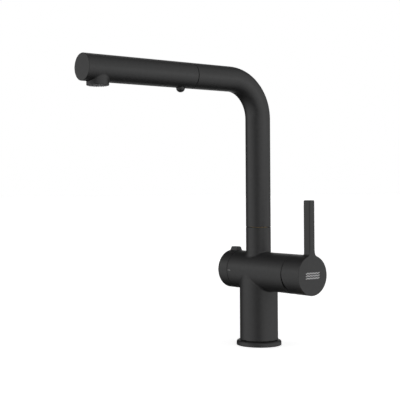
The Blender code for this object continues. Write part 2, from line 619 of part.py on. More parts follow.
def make_button(frame):
    """The domed push button under the head, its stem and the spool that it lifts."""
    top, skirt, rim, tip, stem = -0.0060, -0.0128, -0.0142, -0.0186, 0.0032
    steps = 6
    profile = [(0, top), (stem, top), (stem, skirt), (BUTTON_RADIUS, skirt)]
    for i in range(steps):
        angle = math.pi / 2 * i / steps
        profile.append((BUTTON_RADIUS * math.cos(angle), rim - (rim - tip) * math.sin(angle)))
    profile.append((0, tip))
    turned("diverter_button", profile, "black_coat", BUTTON, ALONG_Z, frame)
    rod("diverter_spool", 0.0039, -0.0057, -0.0015, "brass", BUTTON, ALONG_Z, frame, COARSE)


PARTS, CUTTERS = clear_scene()

make_base()
make_deck_clamp()
make_body()
make_cartridge()
make_headwork()
make_swivel_bearings()

carrier_frame = empty("lever_turn", BARREL)
make_mixing_carrier(carrier_frame)
make_disc_slider(empty("disc_slide", BARREL, carrier_frame))
make_lever(empty("lever_tilt", PIVOT, carrier_frame))
make_knob(empty("knob_turn", BARREL))

spout_frame = empty("spout_swivel", (0, 0, 0))
make_spout(spout_frame)
head_frame = empty("spray_pull", SPOUT, spout_frame)
make_spray_shell(head_frame)
make_spray_inlet(head_frame)
make_spray_core(head_frame)
make_spring(head_frame)
make_button(empty("button_press", BUTTON, head_frame))
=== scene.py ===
# %% [markdown]
# # A matt black kitchen mixer with a pull-out spray head
#
# The mixer stands in a round hole in the worktop. Water comes up through its column, is mixed by a
# cartridge in the barrel that lies across the column, and leaves through a hose inside the L-shaped spout.
# The solids that fit and move were designed already, and are loaded here as a frame that stays as it is.
# This lesson gives each visible piece its finished surface, and every piece its finish.

# %% Load the frame
import json
import math

import bpy
import numpy as np
from mathutils import Matrix, Vector


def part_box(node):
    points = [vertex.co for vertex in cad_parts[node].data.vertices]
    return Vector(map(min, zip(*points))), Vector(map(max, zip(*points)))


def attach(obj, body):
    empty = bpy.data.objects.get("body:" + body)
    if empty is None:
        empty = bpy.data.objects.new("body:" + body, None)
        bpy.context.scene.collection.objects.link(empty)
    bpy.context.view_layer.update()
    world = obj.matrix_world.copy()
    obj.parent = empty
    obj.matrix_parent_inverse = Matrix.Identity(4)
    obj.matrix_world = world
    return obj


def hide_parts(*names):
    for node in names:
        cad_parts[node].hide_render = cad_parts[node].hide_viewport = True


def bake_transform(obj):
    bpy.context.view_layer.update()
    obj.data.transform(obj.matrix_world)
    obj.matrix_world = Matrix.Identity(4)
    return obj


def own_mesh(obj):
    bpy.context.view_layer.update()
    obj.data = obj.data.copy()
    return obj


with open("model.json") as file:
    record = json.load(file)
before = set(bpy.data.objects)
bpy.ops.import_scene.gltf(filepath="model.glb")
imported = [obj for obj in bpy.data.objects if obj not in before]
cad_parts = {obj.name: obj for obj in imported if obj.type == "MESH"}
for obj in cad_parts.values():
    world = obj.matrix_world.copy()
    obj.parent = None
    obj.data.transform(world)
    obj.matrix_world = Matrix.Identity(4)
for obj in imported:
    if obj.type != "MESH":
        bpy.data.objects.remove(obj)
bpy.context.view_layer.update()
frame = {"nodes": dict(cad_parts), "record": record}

# %% [markdown]
# ## Measures
#
# Every place comes from the boxes of the designed solids, so a finished piece lands where its solid is.
# Only what a box can't tell, such as the radius of the bend or of a rounded edge, is a number of its own.
# GAP is the room between two pieces. FINE, CRISP and BROKEN are roundings of edges, from a sealing edge to
# one that a hand touches. PAST is how far a cutter runs beyond the metal, so that a bore is sure to open.

# %% Read the sizes off the frame


def box(node):
    """The lowest and highest corner of a designed solid, as two arrays in metres."""
    low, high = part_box(node)
    return np.array(low), np.array(high)


GAP = 0.0003
FINE, CRISP, BROKEN = 0.0001, 0.0002, 0.0003
PAST = 0.01

tube_low, tube_high = box("spout_tube")
TUBE_RADIUS = (tube_high[0] - tube_low[0]) / 2
TUBE_BORE = TUBE_RADIUS - 0.0015
SPOUT_Z = tube_high[2] - TUBE_RADIUS
TUBE_START = tube_low[2]
TUBE_END = tube_low[1]
BEND_RADIUS = 0.043

body_low, body_high = box("mixer_body")
BODY_RADIUS = (body_high[1] - body_low[1]) / 2
COLUMN_RADIUS = BODY_RADIUS - 0.0001
BARREL_LEFT, BARREL_RIGHT = body_low[0], body_high[0]
NECK_TOP = body_high[2]

hub_low, hub_high = box("lever_handle")
BARREL_Z = hub_low[2] + BODY_RADIUS
HUB_BACK, HUB_FACE = hub_low[0], hub_high[0] - 0.0001
LEVER_TOP = hub_high[2]

knob_low, knob_high = box("control_knob")
KNOB_FACE, KNOB_BACK = knob_low[0], knob_high[0]
LUG_TOP = knob_high[2]

head_low, head_high = box("spray_shell")
HEAD_END, HEAD_START = head_low[1], head_high[1]
NOZZLE_RIM = head_low[2]
NOZZLE_Y = sum(box("spray_face"))[1] / 2
BUTTON_Y = sum(box("diverter_button"))[1] / 2

RING_RADIUS, RING_TOP = box("base_ring")[1][[0, 2]]
print(f"spout axis {SPOUT_Z:.4f} m, barrel axis {BARREL_Z:.4f} m, tube radius {TUBE_RADIUS:.4f} m")

# %% [markdown]
# ## Camera
#
# A product is usually shown through a long lens from a little to its side, so that upright edges stay
# upright. The camera looks very slightly up, and a small shift of the lens moves the picture without
# tilting it.

# %% Place the camera
CAMERA_PLACE = np.array((0.8140, -0.7446, 0.1767))
CAMERA_TURN, CAMERA_RISE, CAMERA_ROLL = np.radians((52.79, 1.63, -0.21))
LENS, SHIFT_RIGHT, SHIFT_UP = 87.2, 0.0773, -0.0994


def camera_axes(turn, rise, roll):
    """Right, up and forward of a camera: turned about Z from +Y, tipped up by rise, then rolled."""
    forward = np.array((-math.sin(turn) * math.cos(rise), math.cos(turn) * math.cos(rise), math.sin(rise)))
    right = np.array((math.cos(turn), math.sin(turn), 0))
    up = np.cross(right, forward)
    rolled = math.cos(roll) * right + math.sin(roll) * up
    return rolled, math.cos(roll) * up - math.sin(roll) * right, forward


camera_data = bpy.data.cameras.new("camera")
camera_data.lens, camera_data.shift_x, camera_data.shift_y = LENS, SHIFT_RIGHT, SHIFT_UP
camera_data.clip_start = 0.01
camera = bpy.data.objects.new("camera", camera_data)
bpy.context.scene.collection.objects.link(camera)
right, up, forward = camera_axes(CAMERA_TURN, CAMERA_RISE, CAMERA_ROLL)
turned_axes = np.stack((right, up, -forward), 1)
camera.matrix_world = Matrix(np.block([[turned_axes, CAMERA_PLACE[:, None]], [0, 0, 0, 1]]))
bpy.context.scene.camera = camera
print("camera", np.round(CAMERA_PLACE, 3), "lens", LENS)

# %% [markdown]
# ## Worktop and light
#
# Matt black metal shows its shape only by what it reflects. In a studio such a tap stands in a light tent:
# pale sheets all round, with a gap for the camera and the far side left dim. The sheets draw a soft band
# down each side of the column, the gap leaves a dark line between them, and the dim far side keeps the
# outlines crisp. A tent could be many area lights. Here the world itself is the tent: one ramp gives its
# brightness by direction round the camera and another by height, which is smooth and has no noise. The gap
# leans to the left as it rises, so the dark line on the upright tube leans too. Two soft lamps favour what
# is near them: one the spout's side, the other its end and the barrel's front.

# %% Build the light tent
ROUND_STOPS = (  # degrees to the right of the camera, brightness
    (-180, 0.03), (-154, 0.03), (-138, 0.07), (-123, 0.20), (-109, 0.72), (-97, 1.02), (-62, 1.12),
    (-40, 1.03), (-27, 0.92), (-15, 0.05), (4, 0.05), (13, 0.92), (26, 1.12), (50, 1.14), (80, 1.02),
    (100, 0.82), (114, 0.56), (130, 0.36), (145, 0.18), (160, 0.06), (180, 0.03),
)
HEIGHT_STOPS = (  # degrees above the horizon, brightness
    (-90, 0.06), (-60, 0.18), (-42, 0.62), (-20, 1.0), (12, 1.0), (35, 0.82), (60, 0.50), (90, 0.35),
)
TENT_STRENGTH = 1.04
GAP_FOOT, GAP_BEND, GAP_LEAN = 0.052, 72, 0.5  # radians: where the lean starts, how fast it grows, its most
LAMPS = {  # place, aim, width, height, power in watts
    "side_lamp": ((0.40, 0.13, 0.30), (0, -0.17, 0.297), 0.28, 0.10, 0.065),
    "end_lamp": ((-0.40, -0.42, 0.25), (0, -0.13, 0.20), 0.28, 0.10, 0.080),
}


def node_material(name):
    """An empty material, and its Principled shader."""
    made = bpy.data.materials.new(name)
    made.use_nodes = True
    return made, made.node_tree.nodes["Principled BSDF"]


def math_node(tree, operation, first, second=None):
    """A Math node fed by sockets or plain numbers; returns its output."""
    node = tree.nodes.new("ShaderNodeMath")
    node.operation = operation
    for socket, value in zip(node.inputs, (first, second)):
        if value is None:
            continue
        if isinstance(value, (int, float)):
            socket.default_value = value
        else:
            tree.links.new(value, socket)
    return node.outputs[0]


def dot_node(tree, vector, other):
    """How far a vector reaches along a fixed direction."""
    node = tree.nodes.new("ShaderNodeVectorMath")
    node.operation = "DOT_PRODUCT"
    tree.links.new(vector, node.inputs[0])
    node.inputs[1].default_value = tuple(float(v) for v in other)
    return node.outputs["Value"]


def ramp_node(tree, factor, stops, low, high):
    """A grey ramp through (place, brightness) stops, read at a factor that runs from 0 to 1."""
    node = tree.nodes.new("ShaderNodeValToRGB")
    node.color_ramp.interpolation = "LINEAR"
    points = node.color_ramp.elements
    for i, (place, level) in enumerate(stops):
        at = (place - low) / (high - low)
        point = points.new(at) if i else points[0]
        point.position, point.color = at, (level, level, level, 1)
    points.remove(points[-1])
    tree.links.new(factor, node.inputs[0])
    return node.outputs["Color"]


world = bpy.data.worlds.new("light_tent")
bpy.context.scene.world = world
world.use_nodes = True
tent = world.node_tree
heading = tent.nodes.new("ShaderNodeTexCoord").outputs["Generated"]
toward = -np.array((forward[0], forward[1], 0)) / np.hypot(forward[0], forward[1])
sideways = np.array((-toward[1], toward[0], 0))
turn_round = math_node(tent, "ARCTAN2", dot_node(tent, heading, sideways), dot_node(tent, heading, toward))
rise = math_node(tent, "ARCSINE", dot_node(tent, heading, (0, 0, 1)))
raised = math_node(tent, "MAXIMUM", math_node(tent, "ADD", rise, GAP_FOOT), 0)
bent = math_node(tent, "MULTIPLY", math_node(tent, "POWER", raised, 2), GAP_BEND)
leaning = math_node(tent, "MINIMUM", bent, GAP_LEAN)
in_front = math_node(tent, "MAXIMUM", dot_node(tent, heading, toward), 0)
turn_round = math_node(tent, "ADD", turn_round, math_node(tent, "MULTIPLY", leaning, in_front))
by_turn = math_node(tent, "MULTIPLY_ADD", turn_round, 0.5 / math.pi)
by_rise = math_node(tent, "MULTIPLY_ADD", rise, 1 / math.pi)
for link in (by_turn, by_rise):
    link.node.inputs[2].default_value = 0.5
round_glow = ramp_node(tent, by_turn, ROUND_STOPS, -180, 180)
glow = math_node(tent, "MULTIPLY", round_glow, ramp_node(tent, by_rise, HEIGHT_STOPS, -90, 90))
sheets = tent.nodes["Background"]
sheets.inputs["Strength"].default_value = TENT_STRENGTH
tent.links.new(glow, sheets.inputs["Color"])
backdrop = tent.nodes.new("ShaderNodeBackground")
backdrop.inputs["Color"].default_value = (1, 1, 1, 1)
seen = tent.nodes.new("ShaderNodeLightPath")
either = tent.nodes.new("ShaderNodeMixShader")
tent.links.new(seen.outputs["Is Camera Ray"], either.inputs["Fac"])
tent.links.new(sheets.outputs["Background"], either.inputs[1])
tent.links.new(backdrop.outputs["Background"], either.inputs[2])
tent.links.new(either.outputs["Shader"], tent.nodes["World Output"].inputs["Surface"])
bpy.context.scene.view_settings.view_transform = "Standard"
print("light tent:", len(ROUND_STOPS), "stops round,", len(HEIGHT_STOPS), "stops up")

# %% Hang the lamps
for name, (place, aim, width, height, power) in LAMPS.items():
    lamp_data = bpy.data.lights.new(name, "AREA")
    lamp_data.shape = "RECTANGLE"
    lamp_data.size, lamp_data.size_y, lamp_data.energy = width, height, power
    lamp = bpy.data.objects.new(name, lamp_data)
    bpy.context.scene.collection.objects.link(lamp)
    lamp.location = place
    lamp.rotation_euler = (Vector(aim) - lamp.location).to_track_quat("-Z", "Y").to_euler()
    lamp.visible_camera = False
print("lamps:", ", ".join(LAMPS))

# %% [markdown]
# ## Worktop
#
# The worktop is a plain pale sheet, level with the underside of the base ring. It glows a little, like an
# acrylic light table, so only the soft shadow round the ring tells where it is. It isn't part of the mixer.

# %% Lay the worktop
FLOOR_Z = -GAP
PALE_GREY, GLOW = (0.8, 0.8, 0.8, 1), 0.70
bpy.ops.mesh.primitive_plane_add(size=30, location=(0, 0, FLOOR_Z))
worktop = bpy.context.object
worktop.name = "worktop"
worktop.visible_glossy = worktop.visible_diffuse = False
pale, shader = node_material("pale_acrylic")
for socket, value in (
    ("Base Color", PALE_GREY),
    ("Roughness", 0.7),
    ("Specular IOR Level", 0.1),
    ("Emission Color", (1, 1, 1, 1)),
    ("Emission Strength", GLOW),
):
    shader.inputs[socket].default_value = value
worktop.data.materials.append(pale)
print("worktop at", FLOOR_Z)

# %% [markdown]
# ## Finishes
#
# Every finish is worked out from noise in the piece's own coordinates, so it has no seams and needs no
# unwrapping. One noise varies the colour a little, a second the gloss, and a third raises a fine relief. A
# grain is given by its size in metres, and a stretched grain makes the streaks that machining leaves.

# %% Make the finish tools
NOISE_MIDDLE = (0.3, 0.7)


def noise_node(tree, grain, detail, stretch):
    """Noise from 0 to 1 with blobs about as large as the grain; stretch draws them out along X, Y and Z."""
    place = tree.nodes.new("ShaderNodeTexCoord")
    mapping = tree.nodes.new("ShaderNodeMapping")
    mapping.inputs["Scale"].default_value = [1 / way for way in stretch]
    noise = tree.nodes.new("ShaderNodeTexNoise")
    noise.inputs["Scale"].default_value = 1 / grain
    noise.inputs["Detail"].default_value = detail
    tree.links.new(place.outputs["Object"], mapping.inputs["Vector"])
    tree.links.new(mapping.outputs["Vector"], noise.inputs["Vector"])
    return noise.outputs["Fac"]


def ranged(tree, factor, low, high):
    """Spreads the middle of a noise, where nearly all of it lies, over a range."""
    node = tree.nodes.new("ShaderNodeMapRange")
    for socket, value in zip(node.inputs[1:5], (*NOISE_MIDDLE, low, high)):
        socket.default_value = value
    tree.links.new(factor, node.inputs[0])
    return node.outputs[0]


def tinted(tree, factor, dark, light):
    """A colour between two, spread over the middle of a noise."""
    node = tree.nodes.new("ShaderNodeValToRGB")
    for point, place, colour in zip(node.color_ramp.elements, NOISE_MIDDLE, (dark, light)):
        point.position = place
        point.color = (*colour, 1)
    tree.links.new(factor, node.inputs[0])
    return node.outputs["Color"]


FINISHES = {}


def finish(name, dark, light, blotch, gloss, relief, metallic=0.0, stretch=(1, 1, 1), **sockets):
    """A finish: colours between dark and light in blotches, roughness over the gloss range, and a relief.

    relief is the size of its grain and the height it reaches, in metres.
    """
    made, shader = node_material(name)
    tree = made.node_tree
    link = tree.links.new
    link(tinted(tree, noise_node(tree, blotch, 3, stretch), dark, light), shader.inputs["Base Color"])
    link(ranged(tree, noise_node(tree, blotch / 3, 2, stretch), *gloss), shader.inputs["Roughness"])
    bump = tree.nodes.new("ShaderNodeBump")
    bump.inputs["Distance"].default_value = relief[1]
    link(noise_node(tree, relief[0], 2, stretch), bump.inputs["Height"])
    link(bump.outputs["Normal"], shader.inputs["Normal"])
    shader.inputs["Metallic"].default_value = metallic
    for socket, value in sockets.items():
        shader.inputs[socket.replace("_", " ")].default_value = value
    FINISHES[name] = made
    return made


# %% [markdown]
# ## Matt black coat
#
# The visible castings and the tube are brass, sprayed with a matt black powder that is melted on in an
# oven. The melted grains leave a very fine orange peel, and the coat scatters light widely, yet keeps a
# faint sheen where light grazes it. So it is nearly black, middling rough, with a grain of about half a
# millimetre and no gloss on top.

# %% Mix the black coat
DARK_COAT, LIGHT_COAT = (0.0125, 0.0125, 0.0128), (0.0165, 0.0165, 0.0170)
finish("black_coat", DARK_COAT, LIGHT_COAT, 0.004, (0.40, 0.46), (0.0006, 0.000006))
print("black coat mixed")

# %% [markdown]
# ## Finishes of the other pieces
#
# Inside are turned brass and steel, moulded plastics, rubber, silicone and white ceramic discs. Turned
# metal has streaks round its axis, and a grain drawn out across the axis stands for them on pieces this
# small. Of the two prints, one is fresh and pale, and the other is worn dark by hands.

# %% Mix the other finishes
STREAK = (0.25, 1, 1)
finish("brass", (0.52, 0.37, 0.15), (0.68, 0.50, 0.23), 0.003, (0.24, 0.40), (0.0006, 0.000010), 1.0, STREAK)
finish("steel", (0.50, 0.50, 0.51), (0.66, 0.66, 0.67), 0.002, (0.22, 0.36), (0.0005, 0.000008), 1.0, STREAK)
finish("rubber", (0.018, 0.018, 0.018), (0.032, 0.032, 0.031), 0.002, (0.70, 0.88), (0.0003, 0.000015))
finish("white_plastic", (0.72, 0.72, 0.69), (0.80, 0.80, 0.78), 0.008, (0.38, 0.50), (0.0005, 0.000005))
finish("grey_plastic", (0.28, 0.29, 0.30), (0.35, 0.36, 0.37), 0.006, (0.40, 0.52), (0.0005, 0.000006))
finish("black_plastic", (0.016, 0.016, 0.017), (0.026, 0.026, 0.027), 0.003, (0.42, 0.55), (0.0003, 0.000006))
finish(
    "ceramic", (0.80, 0.79, 0.75), (0.87, 0.86, 0.83), 0.003, (0.10, 0.18), (0.0004, 0.000001), Coat_Weight=0.3
)
finish("silicone", (0.15, 0.15, 0.155), (0.20, 0.20, 0.205), 0.004, (0.50, 0.62), (0.0004, 0.000008))
finish("nylon_braid", (0.035, 0.035, 0.037), (0.075, 0.075, 0.078), 0.0012, (0.48, 0.66), (0.0004, 0.000030))
finish("pale_print", (0.44, 0.44, 0.44), (0.54, 0.54, 0.54), 0.002, (0.45, 0.60), (0.0002, 0.000004))
finish("worn_print", (0.16, 0.16, 0.16), (0.22, 0.22, 0.22), 0.002, (0.45, 0.60), (0.0002, 0.000004))
print(len(FINISHES), "finishes:", ", ".join(FINISHES))

# %% [markdown]
# ## From a grid to a mesh
#
# Each new piece is a surface worked out as one array of points, and neighbouring points are joined by
# squares. Where a row shrinks to a single point, as at the tip of a dome, its points become one and the
# squares become triangles, so that nothing is left open. Normals are worked out with the points, which
# keeps a flat face flat right up to its rounded edge. A piece takes its finish and the body that it rides
# on from the designed solid that it stands for.

# %% Make the mesh tools
WELD = 1e-7


def grid_faces(rows, columns, loop):
    """Corner numbers of a grid's squares. Its columns close on themselves, and its rows if loop is true."""
    i = np.arange(rows if loop else rows - 1)[:, None]
    j = np.arange(columns)[None, :]
    below, beside = (i + 1) % rows, (j + 1) % columns
    corners = (i * columns + j, below * columns + j, below * columns + beside, i * columns + beside)
    return np.stack(np.broadcast_arrays(*corners), -1).reshape(-1, 4)


def add_piece(name, points, squares, normals=None):
    """An object from points and squares. Points at one place become one, so a square may be a triangle."""
    _, first, number = np.unique(
        np.round(points / WELD).astype(np.int64), axis=0, return_index=True, return_inverse=True
    )
    merged = number.reshape(-1)[squares]
    kept = merged != np.roll(merged, 1, axis=1)
    whole = kept.sum(1) >= 3
    merged, kept, squares = merged[whole], kept[whole], squares[whole]
    sizes = kept.sum(1)
    mesh = bpy.data.meshes.new(name)
    mesh.vertices.add(len(first))
    mesh.vertices.foreach_set("co", points[first].astype(np.float32).ravel())
    mesh.loops.add(int(sizes.sum()))
    mesh.loops.foreach_set("vertex_index", merged[kept].astype(np.int32))
    mesh.polygons.add(len(sizes))
    mesh.polygons.foreach_set("loop_start", (np.cumsum(sizes) - sizes).astype(np.int32))
    mesh.update(calc_edges=True)
    mesh.shade_smooth()
    if normals is not None:
        mesh.normals_split_custom_set(normals[squares[kept]].tolist())
    obj = bpy.data.objects.new(name, mesh)
    bpy.context.scene.collection.objects.link(obj)
    return obj


record = frame["record"]
SLOTS = {row["node"]: row["material_slot"] for row in record["subparts"]}
BODIES = {node: body for body, nodes in record["behaviour"]["bodies"].items() for node in nodes}


def fit_out(obj, node, rides=True):
    """Gives a piece the finish and the body of the designed solid that it stands for, by the record."""
    obj.data.materials.append(FINISHES[SLOTS[node]])
    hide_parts(node)
    if rides:
        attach(obj, BODIES[node])
    print(f"{obj.name}: {len(obj.data.polygons)} faces")
    return obj


# %% [markdown]
# ## Turned pieces
#
# Rings, domes, bushes and tubes come off a lathe, so each is a profile carried round an axis. The profile
# is given by its corners, each with a rounding of its own, since no real edge is perfectly sharp. The axis
# may be bent too: the spout tube is the same thing, with its profile carried along a line with an arc in
# it.

# %% Make the lathe
ARC_POINTS = 6


def outline(corners):
    """Points and outward normals of a profile from (radius, distance along the axis, rounding) corners.

    A corner's arc starts where its circle touches the side that comes in, and turns about the circle's centre
    by the angle between the two sides. The outside is on the left, so a profile runs down its outer side.
    """
    table = np.array(corners, float)
    place, rounding = table[:, :2], table[:, 2]
    coming = place - np.roll(place, 1, axis=0)
    going = np.roll(place, -1, axis=0) - place
    heading = np.arctan2(coming[:, 1], coming[:, 0])
    turn = (np.arctan2(going[:, 1], going[:, 0]) - heading + np.pi) % (2 * np.pi) - np.pi
    cut = (rounding * np.abs(np.tan(turn / 2)))[:, None]
    swing = (np.sign(turn) * rounding)[:, None]
    start = place - cut * np.stack((np.cos(heading), np.sin(heading)), 1)
    centre = start + swing * np.stack((-np.sin(heading), np.cos(heading)), 1)
    angle = heading[:, None] + turn[:, None] * np.linspace(0, 1, ARC_POINTS)
    normal = np.stack((-np.sin(angle), np.cos(angle)), -1)
    return (centre[:, None] - swing[..., None] * normal).reshape(-1, 2), normal.reshape(-1, 2)


def straight(origin, axis):
    """A straight path: the place at distance s is origin + s * axis, with two sides square to the axis."""
    axis = np.array(axis, float)
    side = np.roll(np.abs(axis), 1)

    def path(s):
        ones = np.ones((len(s), 1))
        return np.array(origin) + s[:, None] * axis, ones * side, ones * np.cross(axis, side), ones * axis

    return path


def turned(corners, path, steps=96, loop=True, shape=None):
    """Points, squares and normals of a profile carried round a path.

    Radius r at distance s becomes the circle of radius r about the path's place at s. A shape function may
    change the radius by distance and angle, for threads and ribs.
    """
    profile, slope = outline(corners)
    radius, s = profile[:, :1], profile[:, 1:]
    angle = np.linspace(0, 2 * np.pi, steps, endpoint=False)[None]
    centre, side, across, along = (part[:, None] for part in path(profile[:, 1]))
    outward = np.cos(angle)[..., None] * side + np.sin(angle)[..., None] * across
    if shape:
        radius = shape(radius, s, angle)
    points = centre + np.broadcast_to(radius, (len(profile), steps))[..., None] * outward
    normals = slope[:, :1, None] * outward + slope[:, 1:, None] * along
    squares = grid_faces(len(profile), steps, loop)
    return points.reshape(-1, 3), squares, None if shape else normals.reshape(-1, 3)


def turn_piece(name, node, corners, path, steps=96, rides=True, **more):
    """Turns a profile into a piece and fits it out."""
    return fit_out(add_piece(name, *turned(corners, path, steps, **more)), node, rides)


# %% [markdown]
# ## Base ring and gasket
#
# A loose ring covers the edge of the hole. Its top edge is rounded well over, and the column stands inside
# it with a thin shadow line between them. Underneath is a groove for the rubber gasket that keeps water out
# of the hole.

# %% Turn the base ring
COLUMN_LINE = straight((0, 0, 0), (0, 0, 1))
ring_inner, ring_rim, ring_shoulder, ring_foot = 0.0195, 0.0005, 0.0025, 0.0004
groove_inner, groove_outer, groove_depth = 0.0207, 0.0235, 0.0016
ring_corners = [
    (ring_inner, RING_TOP, ring_rim),
    (RING_RADIUS, RING_TOP, ring_shoulder),
    (RING_RADIUS, 0, ring_foot),
    (groove_outer, 0, CRISP),
    (groove_outer, groove_depth, 0),
    (groove_inner, groove_depth, 0),
    (groove_inner, 0, CRISP),
    (ring_inner, 0, BROKEN),
]
turn_piece("escutcheon_ring", "base_ring", ring_corners, COLUMN_LINE, 128)


def plain_ring(outer, inner, low, high, edge):
    """Corners of a ring with four equal roundings."""
    return [(inner, high, edge), (outer, high, edge), (outer, low, edge), (inner, low, edge)]


gasket_low, gasket_high = box("base_gasket")
gasket_corners = plain_ring(groove_outer - GAP, groove_inner + GAP, gasket_low[2], gasket_high[2], BROKEN)
turn_piece("ring_gasket", "base_gasket", gasket_corners, COLUMN_LINE)

# %% [markdown]
# ## Clamp under the worktop
#
# A threaded brass shank goes down through the hole. Under the worktop a rubber gasket, a steel washer and a
# hexagon nut pull the mixer tight. The thread is a true helix: the radius falls and rises with the height
# and, once round, by one pitch with the angle.

# %% Cut the shank's thread
THREAD_PITCH = 0.0015
THREAD_DEPTH = 0.0007
shank_low, shank_high = box("mounting_shank")
SHANK_RADIUS, SHANK_BORE = shank_high[0], 0.0144
FLANK, CREST = 2.4, 0.7  # the wave is steepened and clipped, which leaves a flat crest and a flat root


def threaded(radius, s, angle):
    """Radius less a depth that runs as a triangle wave of height / pitch + angle / a full turn."""
    phase = (s / THREAD_PITCH + angle / (2 * np.pi)) % 1
    outside = radius > (SHANK_RADIUS + SHANK_BORE) / 2
    return radius - outside * THREAD_DEPTH * np.clip(FLANK * np.abs(2 * phase - 1) - CREST, 0, 1)


def stations(radius, start, end, spacing):
    """Corners in a row at one radius, no further apart than the spacing."""
    count = int(abs(end - start) / spacing) + 2
    return [(radius, s, 0) for s in np.linspace(start, end, count)]


shank_corners = stations(SHANK_RADIUS, shank_high[2], shank_low[2], THREAD_PITCH / 5)
shank_corners += [(SHANK_BORE, shank_low[2], 0), (SHANK_BORE, shank_high[2], 0)]
turn_piece("threaded_shank", "mounting_shank", shank_corners, COLUMN_LINE, 72, shape=threaded)

# %% Turn the gasket and washer under the worktop
for name, node, edge in (("lower_gasket", "clamp_gasket", 0.0005), ("steel_washer", "clamp_washer", BROKEN)):
    low, high = box(node)
    corners = plain_ring(high[0], SHANK_RADIUS + GAP, low[2], high[2], edge)
    turn_piece(name, node, corners, COLUMN_LINE)

# %% [markdown]
# ## Castings
#
# The body, the lever, the knob and the spray head's shell are solid forms that run into each other with
# soft inner corners. Lofting such junctions by hand leaves creases. Instead, each form is a distance: how
# far a point is from its surface, negative inside. Two distances join with a fillet, or one is cut from the
# other with a rounded rim, by one formula each, and the finished surface is where the distance is zero.

# %% Define the forms by distance


def drum(x, y, z, axis, centre, radius, low, high, edge):
    """Distance to a cylinder along an axis between two heights, with its rims rounded.

    Distances to its side and to its ends, both taken inwards by the rounding, are joined as two legs of a
    right angle outside and by the larger one inside, and the rounding is taken off again.
    """
    place = (x, y, z)
    a, b = (k for k in range(3) if k != axis)
    side = np.hypot(place[a] - centre[a], place[b] - centre[b]) - radius + edge
    end = np.abs(place[axis] - (low + high) / 2) - (high - low) / 2 + edge
    return np.minimum(np.maximum(side, end), 0) + np.hypot(np.maximum(side, 0), np.maximum(end, 0)) - edge


def brick(x, y, z, low, high, edge):
    """Distance to a box between two corners, with rounded edges, in the same way as for a drum."""
    sides = zip((x, y, z), low, high)
    legs = [np.abs(place - (a + b) / 2) - (b - a) / 2 + edge for place, a, b in sides]
    inside = np.minimum(np.maximum(np.maximum(legs[0], legs[1]), legs[2]), 0)
    out = [np.maximum(leg, 0) for leg in legs]
    return inside + np.sqrt(out[0] ** 2 + out[1] ** 2 + out[2] ** 2) - edge


def joined(a, b, fillet=0.0):
    """The nearer of two distances, with the inner corner between them filled by a fillet."""
    corner = np.hypot(np.maximum(fillet - a, 0), np.maximum(fillet - b, 0))
    return np.maximum(fillet, np.minimum(a, b)) - corner


def shared(a, b, edge=0.0):
    """What two forms have in common, with a rounded edge where they meet."""
    return -joined(-a, -b, edge)


def cut(a, b, edge=0.0):
    """The first form without the second, with a rounded rim."""
    return shared(a, -b, edge)


# %% Cast a surface from a distance


def cast_surface(distance, low, high, step):
    """Points, squares and normals of the surface where distance(x, y, z) is zero.

    Space is divided into cells. A cell that the surface passes through gets one point, the mean of the places
    where the surface crosses the cell's edges, and each crossed edge gets the square between the four cells
    round it. Then every point slides along the slope of the distance until it lies on the surface.
    """
    axes = [np.arange(a - 2 * step, b + 3 * step, step) for a, b in zip(low, high)]
    field = np.asarray(distance(*np.meshgrid(*axes, indexing="ij", sparse=True)))
    cells = tuple(n - 1 for n in field.shape)
    total, count, edges = np.zeros((*cells, 3)), np.zeros(cells, np.int8), []
    for axis in range(3):
        near, far = np.moveaxis(field, axis, 0)[:-1], np.moveaxis(field, axis, 0)[1:]
        near, far = np.moveaxis(near, 0, axis), np.moveaxis(far, 0, axis)
        crossed = (near < 0) != (far < 0)
        share = np.where(crossed, near / np.where(crossed, near - far, 1), 0)
        edges.append((crossed, near >= 0))
        a, b = (k for k in range(3) if k != axis)
        for i, j in ((0, 0), (0, 1), (1, 0), (1, 1)):
            part = [slice(None)] * 3
            part[a], part[b] = slice(i, cells[a] + i), slice(j, cells[b] + j)
            hit = crossed[tuple(part)]
            count += hit
            total[..., axis] += share[tuple(part)]
            total[..., a] += i * hit
            total[..., b] += j * hit
    used = np.argwhere(count)
    number = np.full(cells, -1)
    number[tuple(used.T)] = np.arange(len(used))
    inside_cell = total[tuple(used.T)] / count[tuple(used.T)][:, None]
    points = (used + inside_cell) * step + np.array([line[0] for line in axes])
    squares = []
    for axis, (crossed, flipped) in enumerate(edges):
        a, b = (k for k in range(3) if k != axis)
        at = np.argwhere(crossed)
        back = np.zeros((4, 3), int)
        back[:, a], back[:, b] = (1, 0, 0, 1), (1, 1, 0, 0)
        around = at[:, None] - back
        corners = number[around[..., 0], around[..., 1], around[..., 2]]
        turn_over = flipped[tuple(at.T)] != (axis == 1)
        corners[turn_over] = corners[turn_over, ::-1]
        squares.append(corners)
    reach = step / 20
    for slides in range(4):
        slope = slopes(distance, points, reach)
        slide = distance(*points.T) / np.maximum((slope**2).sum(1), 0.25)
        points -= np.clip(slide, -step / 2, step / 2)[:, None] * slope
    slope = slopes(distance, points, reach)
    return points, np.concatenate(squares), slope / np.linalg.norm(slope, axis=1, keepdims=True)


def slopes(distance, points, reach):
    """How a distance grows along X, Y and Z, from its values a little before and after each point."""
    steps = reach * np.eye(3)
    grown = [distance(*(points + step).T) - distance(*(points - step).T) for step in steps]
    return np.stack(grown, 1) / (2 * reach)


def cast_piece(name, node, form, low, high, step):
    """Casts a form into a piece and fits it out."""
    return fit_out(add_piece(name, *cast_surface(form, low, high, step)), node)


# %% [markdown]
# ## Body
#
# One casting holds the column, the barrel across it and the neck. The column and the barrel are the same
# size, so where they cross they are tangent at the front and the back: the fillet between them is full at
# the left and right and fades to nothing at the front and the back. The casting is bored for the shank, the
# hose, the two supplies, the cartridge, the valve and the screw that holds the spout.

